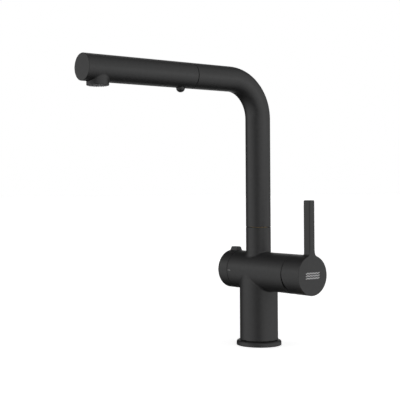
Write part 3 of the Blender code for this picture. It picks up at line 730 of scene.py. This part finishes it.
# %% Cast the body
BARREL = np.array((0, 0, BARREL_Z))
FOOT = RING_TOP + GAP
SPIGOT_RADIUS = 0.0192
COLUMN_FILLET, NECK_FILLET, BARREL_RIM = 0.0022, 0.0016, 0.0004
HOSE_RADIUS, HOSE_ROOM = box("spray_hose")[1][0], 0.0005
PORT_CIRCLE, PORT_RADIUS, PORT_DEPTH = 0.0100, 0.0040, 0.012
SCREW_BITE = 0.001
SOCKET_TOP = shank_high[2] + GAP
MIDDLE = (0, 0)


def body_form(x, y, z):
    """Column and barrel joined by a fillet that fades as 1 - (y / radius) squared, a neck, less the bores."""
    column = drum(x, y, z, 2, MIDDLE, COLUMN_RADIUS, FOOT, BARREL_Z, BROKEN)
    barrel = drum(x, y, z, 0, BARREL, BODY_RADIUS, BARREL_LEFT, BARREL_RIGHT, BARREL_RIM)
    neck = drum(x, y, z, 2, MIDDLE, TUBE_RADIUS, BARREL_Z, NECK_TOP, BROKEN)
    spigot = drum(x, y, z, 2, MIDDLE, SPIGOT_RADIUS, body_low[2], BARREL_Z, BROKEN)
    fading = np.clip(1 - (y / BODY_RADIUS) ** 2, 0.001, 1)
    solid = joined(joined(column, barrel, COLUMN_FILLET * fading), neck, NECK_FILLET)
    solid = joined(solid, spigot)
    for bore in body_bores(x, y, z):
        solid = cut(solid, bore, BROKEN)
    return solid


def body_bores(x, y, z):
    """The bores that open to the outside of the casting, one after another."""
    yield drum(x, y, z, 2, MIDDLE, SHANK_RADIUS + GAP, -PAST, SOCKET_TOP, 0)
    yield drum(x, y, z, 2, MIDDLE, HOSE_RADIUS + HOSE_ROOM, -PAST, NECK_TOP + PAST, 0)
    yield drum(x, y, z, 2, MIDDLE, TUBE_BORE, box("lower_swivel_bush")[0][2], NECK_TOP + PAST, 0)
    housing_radius = box("cartridge_housing")[1][1] + GAP
    yield drum(x, y, z, 0, BARREL, housing_radius, box("cartridge_seal")[0][0], BARREL_RIGHT + PAST, 0)
    nut_low, nut_high = box("cartridge_nut")
    yield drum(x, y, z, 0, BARREL, nut_high[1] + GAP, nut_low[0], BARREL_RIGHT + PAST, 0)
    valve_high = box("headwork_housing")[1]
    yield drum(x, y, z, 0, BARREL, valve_high[1] + GAP, BARREL_LEFT - PAST, valve_high[0], 0)
    for turn in np.radians((0, 60, 180, 300)):
        centre = (PORT_CIRCLE * np.cos(turn), PORT_CIRCLE * np.sin(turn))
        yield drum(x, y, z, 2, centre, PORT_RADIUS, SOCKET_TOP - PAST, SOCKET_TOP + PORT_DEPTH, 0)
    screw_low, screw_high = box("spout_grub_screw")
    screw_line = (screw_low + screw_high) / 2
    screw_radius = (screw_high[0] - screw_low[0]) / 2 + GAP
    yield drum(x, y, z, 1, screw_line, screw_radius, TUBE_BORE - SCREW_BITE, TUBE_RADIUS + PAST, 0)


cast_piece("body_casting", "mixer_body", body_form, body_low, body_high, 0.0008)

# %% [markdown]
# ## Lever
#
# The lever is one casting too: a drum as wide as the barrel, and a square bar that rises from it, flush
# with the drum's face. The bar's front edges are chamfered, and the chamfer dies out where the bar meets
# the drum. The drum's back is cut away on a slant below the middle, so that the lever can tip outwards.
# Inside is a cup that goes over the cartridge, with a boss for the stem. The fillet at the bar's root has
# to fade towards the flush face, or it would bulge out, so in front the two outlines are joined flat, as
# one plate.

# %% Cast the lever
STEM_HALF = box("lever_stem")[1][1] + GAP
STEM_END = box("lever_stem")[1][0] + 0.0004
BLADE_WIDTH, BLADE_DEPTH, BLADE_ROOT = 0.0081, 0.0091, 0.010
RIM_EDGE, BLADE_TOP, BLADE_BACK, ROOT_FILLET = 0.0005, 0.0014, 0.0006, 0.0030
BACK_FILLET, FILLET_FADE, NO_FILLET = 0.0016, 1.2, 0.00001
CHAMFER, CHAMFER_SLOPE, CHAMFER_RISE = 0.0006, math.radians(40), 0.005
CUP_RADIUS, CUP_FLOOR, CUP_EDGE, CUP_RIM = 0.0178, 0.0730, 0.0006, 0.0004
BOSS_RADIUS, BOSS_END, BOSS_ROOT = 0.0076, 0.0640, 0.001
HOLE_RADIUS, SEAT_RADIUS, HOLE_END, BELOW = 0.0021, 0.0030, BARREL_Z - 0.002, BARREL_Z - 0.03
TILT_ROOM = 0.0043
plug_low, plug_high = box("screw_plug")
SCREW_X = (plug_low[0] + plug_high[0]) / 2
LEAN = math.atan2(TILT_ROOM, BODY_RADIUS)


def chamfered(side, front, grown):
    """A side and a front with a rounded edge that turns into a chamfer as grown goes from 0 to 1.

    The chamfer's distance is side * sin(slope) + front * cos(slope) + its depth.
    """
    flat = side * math.sin(CHAMFER_SLOPE) + front * math.cos(CHAMFER_SLOPE) + CHAMFER * grown
    return shared(shared(side, front, RIM_EDGE * (1 - grown) + FINE), flat, CRISP)


def lever_form(x, y, z):
    """Drum, cut on a slant behind, joined to the bar, less its cup and bores.

    In front the drum's and the bar's outlines join by a fillet in the plane of the face, as one flat plate.
    The plate's front edge has a chamfer, which begins over the drum and is full a few millimetres higher.
    """
    hub = drum(x, y, z, 0, BARREL, BODY_RADIUS, HUB_BACK - PAST, HUB_FACE, RIM_EDGE)
    bar = shared(np.abs(y) - BLADE_WIDTH / 2, z - LEVER_TOP, BLADE_TOP)
    front, back = x - HUB_FACE, HUB_FACE - BLADE_DEPTH - x
    blade = shared(chamfered(bar, front, 1), back, BLADE_BACK)
    fillet = np.clip(FILLET_FADE * (HUB_FACE - x), NO_FILLET, BACK_FILLET)
    face = joined(np.hypot(y, z - BARREL_Z) - BODY_RADIUS, shared(bar, BARREL_Z - z), ROOT_FILLET)
    grown = np.clip((z - BARREL_Z - BODY_RADIUS) / CHAMFER_RISE, 0, 1)
    plate = shared(chamfered(face, front, grown), back, BLADE_BACK)
    solid = joined(joined(hub, shared(blade, BARREL_Z + BLADE_ROOT - z), fillet), plate)
    slant = (x - HUB_BACK) * math.cos(LEAN) + (z - BARREL_Z) * math.sin(LEAN)
    solid = shared(shared(solid, HUB_BACK - x, BROKEN), -slant, BROKEN)
    cup = drum(x, y, z, 0, BARREL, CUP_RADIUS, HUB_BACK - 2 * PAST, CUP_FLOOR, CUP_EDGE)
    boss = drum(x, y, z, 0, BARREL, BOSS_RADIUS, BOSS_END, CUP_FLOOR + BOSS_ROOT, BROKEN)
    solid = joined(cut(solid, cup, CUP_RIM), boss, CUP_EDGE)
    half = STEM_HALF
    socket_low = (BOSS_END - PAST, -half, BARREL_Z - half)
    solid = cut(solid, brick(x, y, z, socket_low, (STEM_END, half, BARREL_Z + half), CRISP), CRISP)
    hole = drum(x, y, z, 2, (SCREW_X, 0), HOLE_RADIUS, BELOW, HOLE_END, 0)
    seat = drum(x, y, z, 2, (SCREW_X, 0), SEAT_RADIUS, BELOW, plug_high[2] + 0.0004, 0)
    return cut(solid, joined(hole, seat), CRISP)


cast_piece("lever_casting", "lever_handle", lever_form, hub_low, hub_high, 0.0005)

# %% [markdown]
# ## Knob
#
# The knob at the other end of the barrel opens the valve for a dishwasher. It is a short drum with a finger
# lug on its rim. The lug is a pyramid with its top cut off: its four sides lean in with height, and all its
# edges are soft.

# %% Cast the knob
KNOB_CUP, KNOB_FLOOR = 0.0180, -0.0405
KNOB_BOSS, KNOB_BOSS_END = 0.0060, -0.0312
SPINDLE_SOCKET, SPINDLE_ROOM = 0.0033, 0.0006
LUG_HEIGHT, LUG_EDGE = 0.0072, 0.0005
LUG_BASE, LUG_TOP_SIZE = np.array((0.0138, 0.0100)), np.array((0.0094, 0.0058))
LUG_X = (KNOB_FACE + KNOB_BACK) / 2 - 0.0003


def lug_form(x, y, z):
    """Two pairs of sides whose half width shrinks with height, and a top, with rounded edges between them."""
    shrink = (LUG_BASE - LUG_TOP_SIZE) / 2 / LUG_HEIGHT
    lean = np.cos(np.arctan(shrink))
    half = LUG_TOP_SIZE[:, None, None, None] / 2 + shrink[:, None, None, None] * (LUG_TOP - z)
    if np.ndim(z) == 1:
        half = half[:, 0, 0]
    sides = shared((np.abs(x - LUG_X) - half[0]) * lean[0], (np.abs(y) - half[1]) * lean[1], LUG_EDGE)
    return np.maximum(shared(sides, z - LUG_TOP, LUG_EDGE), LUG_TOP - LUG_HEIGHT - z)


def knob_form(x, y, z):
    """Drum joined to the lug, less a cup, with a boss for the valve's spindle and a hole for its screw."""
    disc = drum(x, y, z, 0, BARREL, BODY_RADIUS, KNOB_FACE, KNOB_BACK + PAST, RIM_EDGE)
    solid = joined(shared(disc, x - KNOB_BACK, BARREL_RIM), lug_form(x, y, z), LUG_EDGE)
    cup = drum(x, y, z, 0, BARREL, KNOB_CUP, KNOB_FLOOR, KNOB_BACK + 2 * PAST, CUP_EDGE)
    boss = drum(x, y, z, 0, BARREL, KNOB_BOSS, KNOB_FLOOR - BOSS_ROOT, KNOB_BOSS_END, BROKEN)
    solid = joined(cut(solid, cup, CUP_RIM), boss, CUP_EDGE)
    spindle_end = box("valve_spindle")[0][0] - SPINDLE_ROOM
    socket = drum(x, y, z, 0, BARREL, SPINDLE_SOCKET, spindle_end, 0, 0)
    screw_low, screw_high = box("knob_screw")
    screw_x = (screw_low[0] + screw_high[0]) / 2
    hole = drum(x, y, z, 2, (screw_x, 0), screw_high[1] + GAP, BELOW, HOLE_END, 0)
    return cut(cut(solid, socket, CRISP), hole, CRISP)


cast_piece("knob_casting", "control_knob", knob_form, knob_low, knob_high, 0.0005)

# %% [markdown]
# ## Spray head
#
# The head is a tube of the spout's own size with a closed end, so that docked it reads as one line with the
# spout, broken only by a seam. A short collar under its end holds the nozzle, and the hole near the seam
# takes the button.

# %% Cast the spray head's shell
COLLAR_RADIUS, COLLAR_TOP, COLLAR_FILLET = 0.0115, SPOUT_Z - 0.0050, 0.0007
NOZZLE_BORE, NOZZLE_CEILING = 0.0102, SPOUT_Z + 0.0060
BUTTON_HOLE, BUTTON_CEILING = box("diverter_button")[1][0] + GAP, SPOUT_Z - 0.0080
HEAD_FLOOR = HEAD_END + 0.0022
SPOUT = np.array((0, 0, SPOUT_Z))


def head_form(x, y, z):
    """Tube with a closed end, joined to the collar by a fillet, less the nozzle's and the button's bores."""
    tube = drum(x, y, z, 1, SPOUT, TUBE_RADIUS, HEAD_END, HEAD_START + PAST, RIM_EDGE)
    tube = shared(tube, y - HEAD_START, BROKEN)
    collar = drum(x, y, z, 2, (0, NOZZLE_Y), COLLAR_RADIUS, NOZZLE_RIM, COLLAR_TOP, RIM_EDGE)
    bore = drum(x, y, z, 1, SPOUT, TUBE_BORE, HEAD_FLOOR, HEAD_START + 2 * PAST, RIM_EDGE)
    solid = joined(cut(joined(tube, collar, COLLAR_FILLET), bore, BROKEN), collar)
    nozzle = drum(x, y, z, 2, (0, NOZZLE_Y), NOZZLE_BORE, NOZZLE_RIM - PAST, NOZZLE_CEILING, 0)
    hole = drum(x, y, z, 2, (0, BUTTON_Y), BUTTON_HOLE, NOZZLE_RIM - PAST, BUTTON_CEILING, 0)
    return cut(cut(solid, nozzle, BROKEN), hole, CRISP)


cast_piece("head_shell", "spray_shell", head_form, head_low, head_high, 0.0006)

# %% [markdown]
# ## Spout tube
#
# The spout is a drawn tube, bent once to a right angle. Its line goes up, round an arc and out. The profile
# of its wall is carried along that line like a turned profile along a straight axis.

# %% Bend the spout tube
RISE = SPOUT_Z - BEND_RADIUS - TUBE_START
BEND = BEND_RADIUS * math.pi / 2


def spout_line(s):
    """Place and directions at distance s from the neck: up the rise, round by s / bend radius, then out."""
    angle = np.clip((s - RISE) / BEND_RADIUS, 0, math.pi / 2)
    out = BEND_RADIUS * (1 - np.cos(angle)) + np.maximum(s - RISE - BEND, 0)
    up = np.minimum(s, RISE) + BEND_RADIUS * np.sin(angle)
    zero, one = np.zeros(len(s)), np.ones(len(s))
    centre = np.stack((zero, -out, TUBE_START + up), 1)
    side = np.stack((one, zero, zero), 1)
    across = np.stack((zero, np.cos(angle), np.sin(angle)), 1)
    return centre, side, across, np.stack((zero, -np.sin(angle), np.cos(angle)), 1)


TUBE_LENGTH = RISE + BEND - TUBE_END - BEND_RADIUS
SEAM_LAP = 0.00024  # the tube is drawn this much further down, so that no bare brass shines through the seam
PIPE_SPACING, PIPE_ENDS = 0.0022, 0.003
pipe_corners = [(TUBE_BORE, TUBE_LENGTH, BROKEN), (TUBE_RADIUS, TUBE_LENGTH, BROKEN)]
pipe_corners += stations(TUBE_RADIUS, TUBE_LENGTH - PIPE_ENDS, PIPE_ENDS, PIPE_SPACING)
pipe_corners += [(TUBE_RADIUS, -SEAM_LAP, BROKEN), (TUBE_BORE, -SEAM_LAP, BROKEN)]
pipe_corners += stations(TUBE_BORE, PIPE_ENDS, TUBE_LENGTH - PIPE_ENDS, 2 * PIPE_SPACING)
turn_piece("spout_pipe", "spout_tube", pipe_corners, spout_line)

# %% [markdown]
# ## Spray hose
#
# The hose runs inside the column and the spout and comes out with the head. It is a black nylon sleeve over
# a tube. Its strands are ribs along its length, so a pull along it would leave them whole, and its rows
# lie closest between the spout's bend and the head, where the real hose lengthens as the head comes out.

# %% Draw the hose
HOSE_STRANDS, STRAND_RELIEF = 20, 0.00012
HOSE_WALL = 0.0014
STRETCH_SPACING, HOSE_SPACING, BORE_SPACING = 0.0010, 0.0025, 0.0040
hose_low = box("spray_hose")[0]
HOSE_BELOW = TUBE_START - hose_low[2]
HOSE_OUT = -hose_low[1]


def ribbed(radius, s, angle):
    """Outer radius less half a wave of one strand: the depth times (1 - cos of the strand's angle) / 2."""
    wave = (1 - np.cos(HOSE_STRANDS * angle)) / 2
    return radius - (radius > HOSE_RADIUS - HOSE_WALL / 2) * STRAND_RELIEF * wave


HOSE_LENGTH = RISE + BEND + HOSE_OUT - BEND_RADIUS
hose_corners = stations(HOSE_RADIUS, HOSE_LENGTH, RISE + BEND, STRETCH_SPACING)
hose_corners += stations(HOSE_RADIUS, RISE + BEND - STRETCH_SPACING, -HOSE_BELOW, HOSE_SPACING)
hose_corners += stations(HOSE_RADIUS - HOSE_WALL, -HOSE_BELOW, HOSE_LENGTH, BORE_SPACING)


def hose_line(s):
    """The spout's line, continued straight down below its start."""
    centre, side, across, along = spout_line(np.maximum(s, 0))
    centre[:, 2] += np.minimum(s, 0)
    return centre, side, across, along


hose_piece = turn_piece(
    "hose_sleeve", "spray_hose", hose_corners, hose_line, HOSE_STRANDS * 6, rides=False, shape=ribbed
)
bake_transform(hose_piece)

# %% [markdown]
# ## Pieces that show when the head is out
#
# The head docks in a plastic bush in the spout's mouth. On its back end is a spigot with an O-ring, and the
# nut that joins it to the hose.

# %% Turn the docking pieces
OUT_LINE = straight((0, 0, SPOUT_Z), (0, -1, 0))
bush_low, bush_high = box("docking_bush")
BUSH_BORE, BUSH_EDGE = 0.0104, 0.0004
bush_corners = plain_ring(bush_high[0], BUSH_BORE, -bush_high[1], -bush_low[1], BUSH_EDGE)
turn_piece("dock_bush", "docking_bush", bush_corners, OUT_LINE)

spigot_low, spigot_high = box("spray_spigot")
spigot_start, spigot_end, flange = -spigot_high[1], -spigot_low[1], spigot_high[0]
FLANGE_WIDTH, BARB, BARB_LEAD = 0.0030, 0.0101, 0.0005
GROOVE_BOTTOM, GROOVE_START, GROOVE_END = 0.0086, 0.0838, 0.0856
WATERWAY, NUT_ROOM, NUT_ROOM_END = 0.0040, 0.0075, 0.0905
spigot_corners = [
    (WATERWAY, spigot_end, CRISP),
    (flange, spigot_end, BROKEN),
    (flange, spigot_end - FLANGE_WIDTH, BROKEN),
    (BARB, spigot_end - FLANGE_WIDTH, BROKEN),
    (BARB, GROOVE_END, FINE),
    (GROOVE_BOTTOM, GROOVE_END, FINE),
    (GROOVE_BOTTOM, GROOVE_START, FINE),
    (BARB, GROOVE_START, FINE),
    (BARB, spigot_start, BARB_LEAD),
    (NUT_ROOM, spigot_start, CRISP),
    (NUT_ROOM, NUT_ROOM_END, FINE),
    (WATERWAY, NUT_ROOM_END, FINE),
]
turn_piece("head_spigot", "spray_spigot", spigot_corners, OUT_LINE)
seal_low, seal_high = box("spigot_o_ring")
cord_radius = (seal_high[1] - seal_low[1]) / 2
seal_middle = -(seal_high[1] + seal_low[1]) / 2
seal_ends = (seal_middle - cord_radius, seal_middle + cord_radius)
seal_corners = plain_ring(seal_high[0], seal_high[0] - 2 * cord_radius, *seal_ends, cord_radius * 0.98)
turn_piece("spigot_seal", "spigot_o_ring", seal_corners, OUT_LINE)

# %% [markdown]
# ## Nuts with flats
#
# A nut's outside is a hexagon: the radius at an angle is the distance to a flat divided by the cosine of
# the angle from that flat's middle. The corners are broken by a cone, so the radius is never more than the
# cone's.

# %% Make the hexagon nuts
CONE = 1.7  # how much the radius grows along the cone
NUT_CREASE = math.radians(28)


def hexagon(flat, count, low, high, chamfer, bore):
    """A shape function for nuts: the smaller of the flats' radius and the cones' at the two ends."""
    sector = 2 * np.pi / count

    def shape(radius, s, angle):
        flats = flat / np.cos((angle + sector / 2) % sector - sector / 2)
        rim = flat + chamfer + CONE * np.minimum(s - low, high - s)
        return np.where(radius > bore, np.minimum(np.minimum(flats, rim), radius), radius)

    return shape


def nut_piece(name, node, path, limits, flat, bore, chamfer, steps):
    """A nut between two distances along a path, turned as a ring and given six flats."""
    low, high = limits
    corner = flat / math.cos(math.pi / 6)
    corners = [(bore, high, CRISP)] + stations(corner, high, low, CRISP) + [(bore, low, CRISP)]
    form = hexagon(flat, 6, low, high, chamfer, (bore + flat) / 2)
    made = add_piece(name, *turned(corners, path, steps, shape=form))
    made.data.set_sharp_from_angle(angle=NUT_CREASE)
    return fit_out(made, node)


lower_low, lower_high = box("mounting_nut")
nut_flat = (lower_high[0] - lower_low[0]) / 2 * math.cos(math.pi / 6)
nut_limits = (lower_low[2], lower_high[2])
nut_bore = SHANK_RADIUS + GAP
nut_piece("clamp_nut", "mounting_nut", COLUMN_LINE, nut_limits, nut_flat, nut_bore, 0.0006, 120)
hose_nut_low, hose_nut_high = box("hose_nut")
nut_limits = (-hose_nut_high[1], -hose_nut_low[1])
swivel_flat = hose_nut_high[0] * math.cos(math.pi / 6)
nut_piece("swivel_nut", "hose_nut", OUT_LINE, nut_limits, swivel_flat, 0.0030, 0.0004, 72)

# %% [markdown]
# ## Nozzle
#
# Under the head a grey silicone disc has two rings of soft nubs that can be rubbed clean of scale, and the
# aerator sits in its middle. The disc is a turned ring whose underside drops at each nub. The drop is a
# cone with a flat tip, as a function of the distance to the nearest nub's middle.

# %% Turn the spray face and the aerator
NOZZLE_LINE = straight((0, NOZZLE_Y, SPOUT_Z), (0, 0, 1))
NUB_RINGS = ((0.0088, 22), (0.0067, 16))
NUB_RADIUS, NUB_HEIGHT = 0.0008, 0.0008
NUB_SLOPE = 1.9  # one over this is the share of the nub's radius that slopes
face_high = box("spray_face")[1]
FACE_INNER, FACE_OUTER = 0.0052, face_high[0]
FACE_FLAT = NOZZLE_RIM + 0.0002 - SPOUT_Z
FACE_TOP = face_high[2] - SPOUT_Z
face_corners = [(FACE_INNER, FACE_TOP, 0), (FACE_OUTER, FACE_TOP, BROKEN), (FACE_OUTER, FACE_FLAT, BROKEN)]
face_corners += [(r, FACE_FLAT, 0) for r in np.linspace(FACE_OUTER - 0.0004, FACE_INNER + 0.0002, 26)]
face_corners += [(FACE_INNER, FACE_FLAT, FINE)]
points, squares, _ = turned(face_corners, NOZZLE_LINE, 360)
away = points - (0, NOZZLE_Y, 0)
reach, around = np.hypot(away[:, 0], away[:, 1]), np.arctan2(away[:, 1], away[:, 0])
drop = np.zeros(len(points))
for circle, count in NUB_RINGS:
    sector = 2 * np.pi / count
    offset = (around % sector - sector / 2) * circle
    near = np.hypot(offset, reach - circle)
    drop = np.maximum(drop, np.clip(NUB_SLOPE * (1 - near / NUB_RADIUS), 0, 1))
under = points[:, 2] < SPOUT_Z + FACE_FLAT + FINE
points[:, 2] -= under * drop * NUB_HEIGHT
fit_out(add_piece("nozzle_face", points, squares), "spray_face")

aerator_low, aerator_high = box("aerator_insert")
bottom, top = aerator_low[2] - SPOUT_Z, aerator_high[2] - SPOUT_Z
JET_INNER, JET_OUTER, SLIT_HEIGHT, SLIT_WIDTH = 0.0018, aerator_high[0], 0.0006, 0.0004
aerator_corners = [(JET_INNER, top, CRISP), (JET_OUTER, top, BROKEN), (JET_OUTER, bottom, BROKEN)]
for r in np.linspace(JET_OUTER - SLIT_HEIGHT, JET_INNER + SLIT_WIDTH, 5):
    aerator_corners += [(r, bottom, FINE), (r - FINE, bottom + SLIT_HEIGHT, 0)]
    aerator_corners += [(r - SLIT_WIDTH + FINE, bottom + SLIT_HEIGHT, 0), (r - SLIT_WIDTH, bottom, FINE)]
aerator_corners += [(JET_INNER, bottom, 0)]
turn_piece("aerator_grid", "aerator_insert", aerator_corners, NOZZLE_LINE)

# %% [markdown]
# ## Button
#
# The button under the head changes the jet. It is a dome on a stem, in a close hole. Its outline is a
# quarter of an ellipse, with each corner rounded so that the dome is smooth.

# %% Turn the button
BUTTON_LINE = straight((0, BUTTON_Y, SPOUT_Z), (0, 0, 1))
DOME_ROUNDING = 0.0025
button_low, button_high = box("diverter_button")
head, tip, cap = button_high[2] - SPOUT_Z, button_low[2] - SPOUT_Z, button_high[0]
stem, skirt, rim = 0.0032, -0.0128, -0.0142
button_corners = [(0, head, 0), (stem, head, CRISP), (stem, skirt, FINE), (cap, skirt, CRISP)]
lean = np.linspace(0, 1, 13)[:-1] * math.pi / 2
button_corners += [(cap * math.cos(a), rim - (rim - tip) * math.sin(a), DOME_ROUNDING) for a in lean]
button_corners += [(0, tip, 0)]
turn_piece("jet_button", "diverter_button", button_corners, BUTTON_LINE, 64, loop=False)

# %% [markdown]
# ## Spring behind the button
#
# A steel spring pushes the button's spool back down. It is wound from wire, so it is a round profile
# carried along a helix, at the length of its designed solid. When the button goes in, the real spring flattens
# towards its upper end; here it stays as wound.

# %% Wind the spring
spring_low, spring_high = box("diverter_spring")
WIRE, SPRING_TURNS = 0.00033, 4
COIL = (spring_high[0] - spring_low[0]) / 2 - WIRE
SPRING_RISE = spring_high[2] - spring_low[2] - 2 * WIRE
SPRING_PITCH = SPRING_RISE / SPRING_TURNS
TURN_LENGTH = math.hypot(2 * math.pi * COIL, SPRING_PITCH)


def spring_line(s):
    """A helix: at distance s the angle is 2 pi s / turn length, and the height grows by one pitch a turn."""
    angle = 2 * np.pi * s / TURN_LENGTH
    sine, cosine = np.sin(angle), np.cos(angle)
    climb, round_share = SPRING_PITCH / TURN_LENGTH, 2 * math.pi * COIL / TURN_LENGTH
    height = spring_low[2] + WIRE + s * climb
    centre = np.stack((COIL * cosine, BUTTON_Y + COIL * sine, height), 1)
    out = np.stack((cosine, sine, 0 * s), 1)
    along = np.stack((-round_share * sine, round_share * cosine, climb + 0 * s), 1)
    return centre, out, np.cross(along, out), along


SPRING_LENGTH = SPRING_TURNS * TURN_LENGTH
wire_corners = [(0, SPRING_LENGTH, 0)] + stations(WIRE, SPRING_LENGTH, 0, TURN_LENGTH / 36) + [(0, 0, 0)]
spring_piece = turn_piece("return_spring", "diverter_spring", wire_corners, spring_line, 12, loop=False)
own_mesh(spring_piece)

# %% [markdown]
# ## Dome over the cartridge
#
# Between the barrel and the lever a black dome hides the cartridge's nut. It shows in the slanted gap.

# %% Turn the dome
BARREL_LINE = straight((0, 0, BARREL_Z), (1, 0, 0))
dome_low, dome_high = box("trim_dome")
dome_radius, dome_bore, shoulder_radius = dome_high[1], 0.0104, 0.0136
shoulder_drop, skirt_drop, shoulder_edge, skirt_edge = 0.0006, 0.0020, 0.0030, 0.0004
dome_corners = [
    (dome_bore, dome_high[0], BROKEN),
    (shoulder_radius, dome_high[0] - shoulder_drop, shoulder_edge),
    (dome_radius, dome_high[0] - skirt_drop, skirt_edge),
    (dome_radius, dome_low[0], CRISP),
    (dome_bore, dome_low[0], FINE),
]
turn_piece("cartridge_dome", "trim_dome", dome_corners, BARREL_LINE)

# %% [markdown]
# ## Plug and screws
#
# A plastic plug closes the hole of the lever's screw from below, and a small socket screw holds the spout
# from behind.

# %% Turn the plug and the spout's screw
PLUG_LINE = straight((SCREW_X, 0, 0), (0, 0, 1))
plug_radius = (plug_high[0] - plug_low[0]) / 2
plug_edge, dimple_share, dimple_edge = 0.0004, 0.45, 0.0008
plug_corners = [(0, plug_high[2], 0), (plug_radius, plug_high[2], BROKEN)]
plug_corners += [(plug_radius, plug_low[2], plug_edge)]
plug_corners += [(plug_radius * dimple_share, plug_low[2] + FINE, dimple_edge), (0, plug_low[2] + BROKEN, 0)]
turn_piece("lever_plug", "screw_plug", plug_corners, PLUG_LINE, 48, loop=False)

screw_low, screw_high = box("spout_grub_screw")
SCREW_LINE = straight((0, 0, (screw_low[2] + screw_high[2]) / 2), (0, 1, 0))
screw_radius, screw_start, screw_end = (screw_high[0] - screw_low[0]) / 2, screw_low[1], screw_high[1]
socket_radius, socket_floor = screw_radius * 0.5, screw_end - 0.0012
point_radius, cone_start, cone_end = 0.0011, 0.0118, 0.0112
screw_corners = [(0, socket_floor, 0), (socket_radius, socket_floor, 0), (socket_radius, screw_end, FINE)]
screw_corners += [(screw_radius, screw_end, CRISP), (screw_radius, cone_start, FINE)]
screw_corners += [(point_radius, cone_end, FINE), (point_radius, screw_start, CRISP), (0, screw_start, 0)]
turn_piece("swivel_screw", "spout_grub_screw", screw_corners, SCREW_LINE, 48, loop=False)

# %% [markdown]
# ## Marks
#
# A dash on the barrel shows where the knob's lug stands when the valve is open, and hands have worn its
# print dark. The mark on the lever's face is three pale ripple lines, a plain sign for water. Both are thin
# enamel let into the metal. A ripple line is a flat tube: across it, width and height follow a squared-off
# circle.

# %% Print the index dash and the ripples
mark_low, mark_high = box("index_mark")
DASH_PROUD, DASH_ROOM, DASH_EDGE, SKIN_EDGE, DASH_STEP = 0.00006, 0.001, 0.0004, 0.00003, 0.00012


def dash_form(x, y, z):
    """A rounded bar, kept only where it lies in a thin skin round the barrel."""
    bar = brick(x, y, z, mark_low - (0, DASH_ROOM, 0), mark_high, DASH_EDGE)
    skin = np.abs(np.hypot(y, z - BARREL_Z) - BODY_RADIUS) - DASH_PROUD
    return shared(bar, skin, SKIN_EDGE)


dash_low = mark_low - (0, DASH_EDGE, 0)
dash_piece = cast_piece("open_dash", "index_mark", dash_form, dash_low, mark_high, DASH_STEP)
dash_piece.data.materials[0] = FINISHES["worn_print"]

RIPPLES, RIPPLE_GAP, RIPPLE_SWING, RIPPLE_WIDTH = 3, 0.0026, 0.00055, 0.0011
RIPPLE_PROUD, SQUARED = 0.00012, 0.4
emblem_low, emblem_high = box("emblem_mark")
RIPPLE_LENGTH = emblem_high[1] - emblem_low[1]
along = np.linspace(-1, 1, 81)[:, None]
turning = np.linspace(0, 2 * np.pi, 16, endpoint=False)[None]
fade = np.sqrt(np.clip(1 - along**10, 0, 1))
half = RIPPLE_WIDTH / 2 * fade
across = half * np.sign(np.cos(turning)) * np.abs(np.cos(turning)) ** SQUARED
height = RIPPLE_PROUD * fade * np.sign(np.sin(turning)) * np.abs(np.sin(turning)) ** SQUARED
line_y = RIPPLE_LENGTH / 2 * along + 0 * turning
swing = RIPPLE_SWING * np.sin(5 * np.pi * along)
rows = (np.arange(RIPPLES) - (RIPPLES - 1) / 2) * RIPPLE_GAP
one_line = np.stack((HUB_FACE + height, line_y, BARREL_Z + swing + across), -1)
points = (one_line[None] + rows[:, None, None, None] * np.array((0, 0, 1))).reshape(-1, 3)
one_grid = grid_faces(len(along), turning.shape[1], False)
squares = np.concatenate([one_grid + i * one_line.shape[0] * one_line.shape[1] for i in range(RIPPLES)])
fit_out(add_piece("ripple_mark", points, squares), "emblem_mark")

# %% [markdown]
# ## Pieces kept as designed
#
# The cartridge, the valve, the bushes and the other hidden pieces are already the right shape. Each takes
# its finish by the material that its record names.

# %% Finish the pieces that stay
for node, obj in frame["nodes"].items():
    if obj.hide_render:
        continue
    for socket in obj.material_slots:
        socket.material = FINISHES[SLOTS[node]]
print("kept as designed:", sum(not obj.hide_render for obj in frame["nodes"].values()))
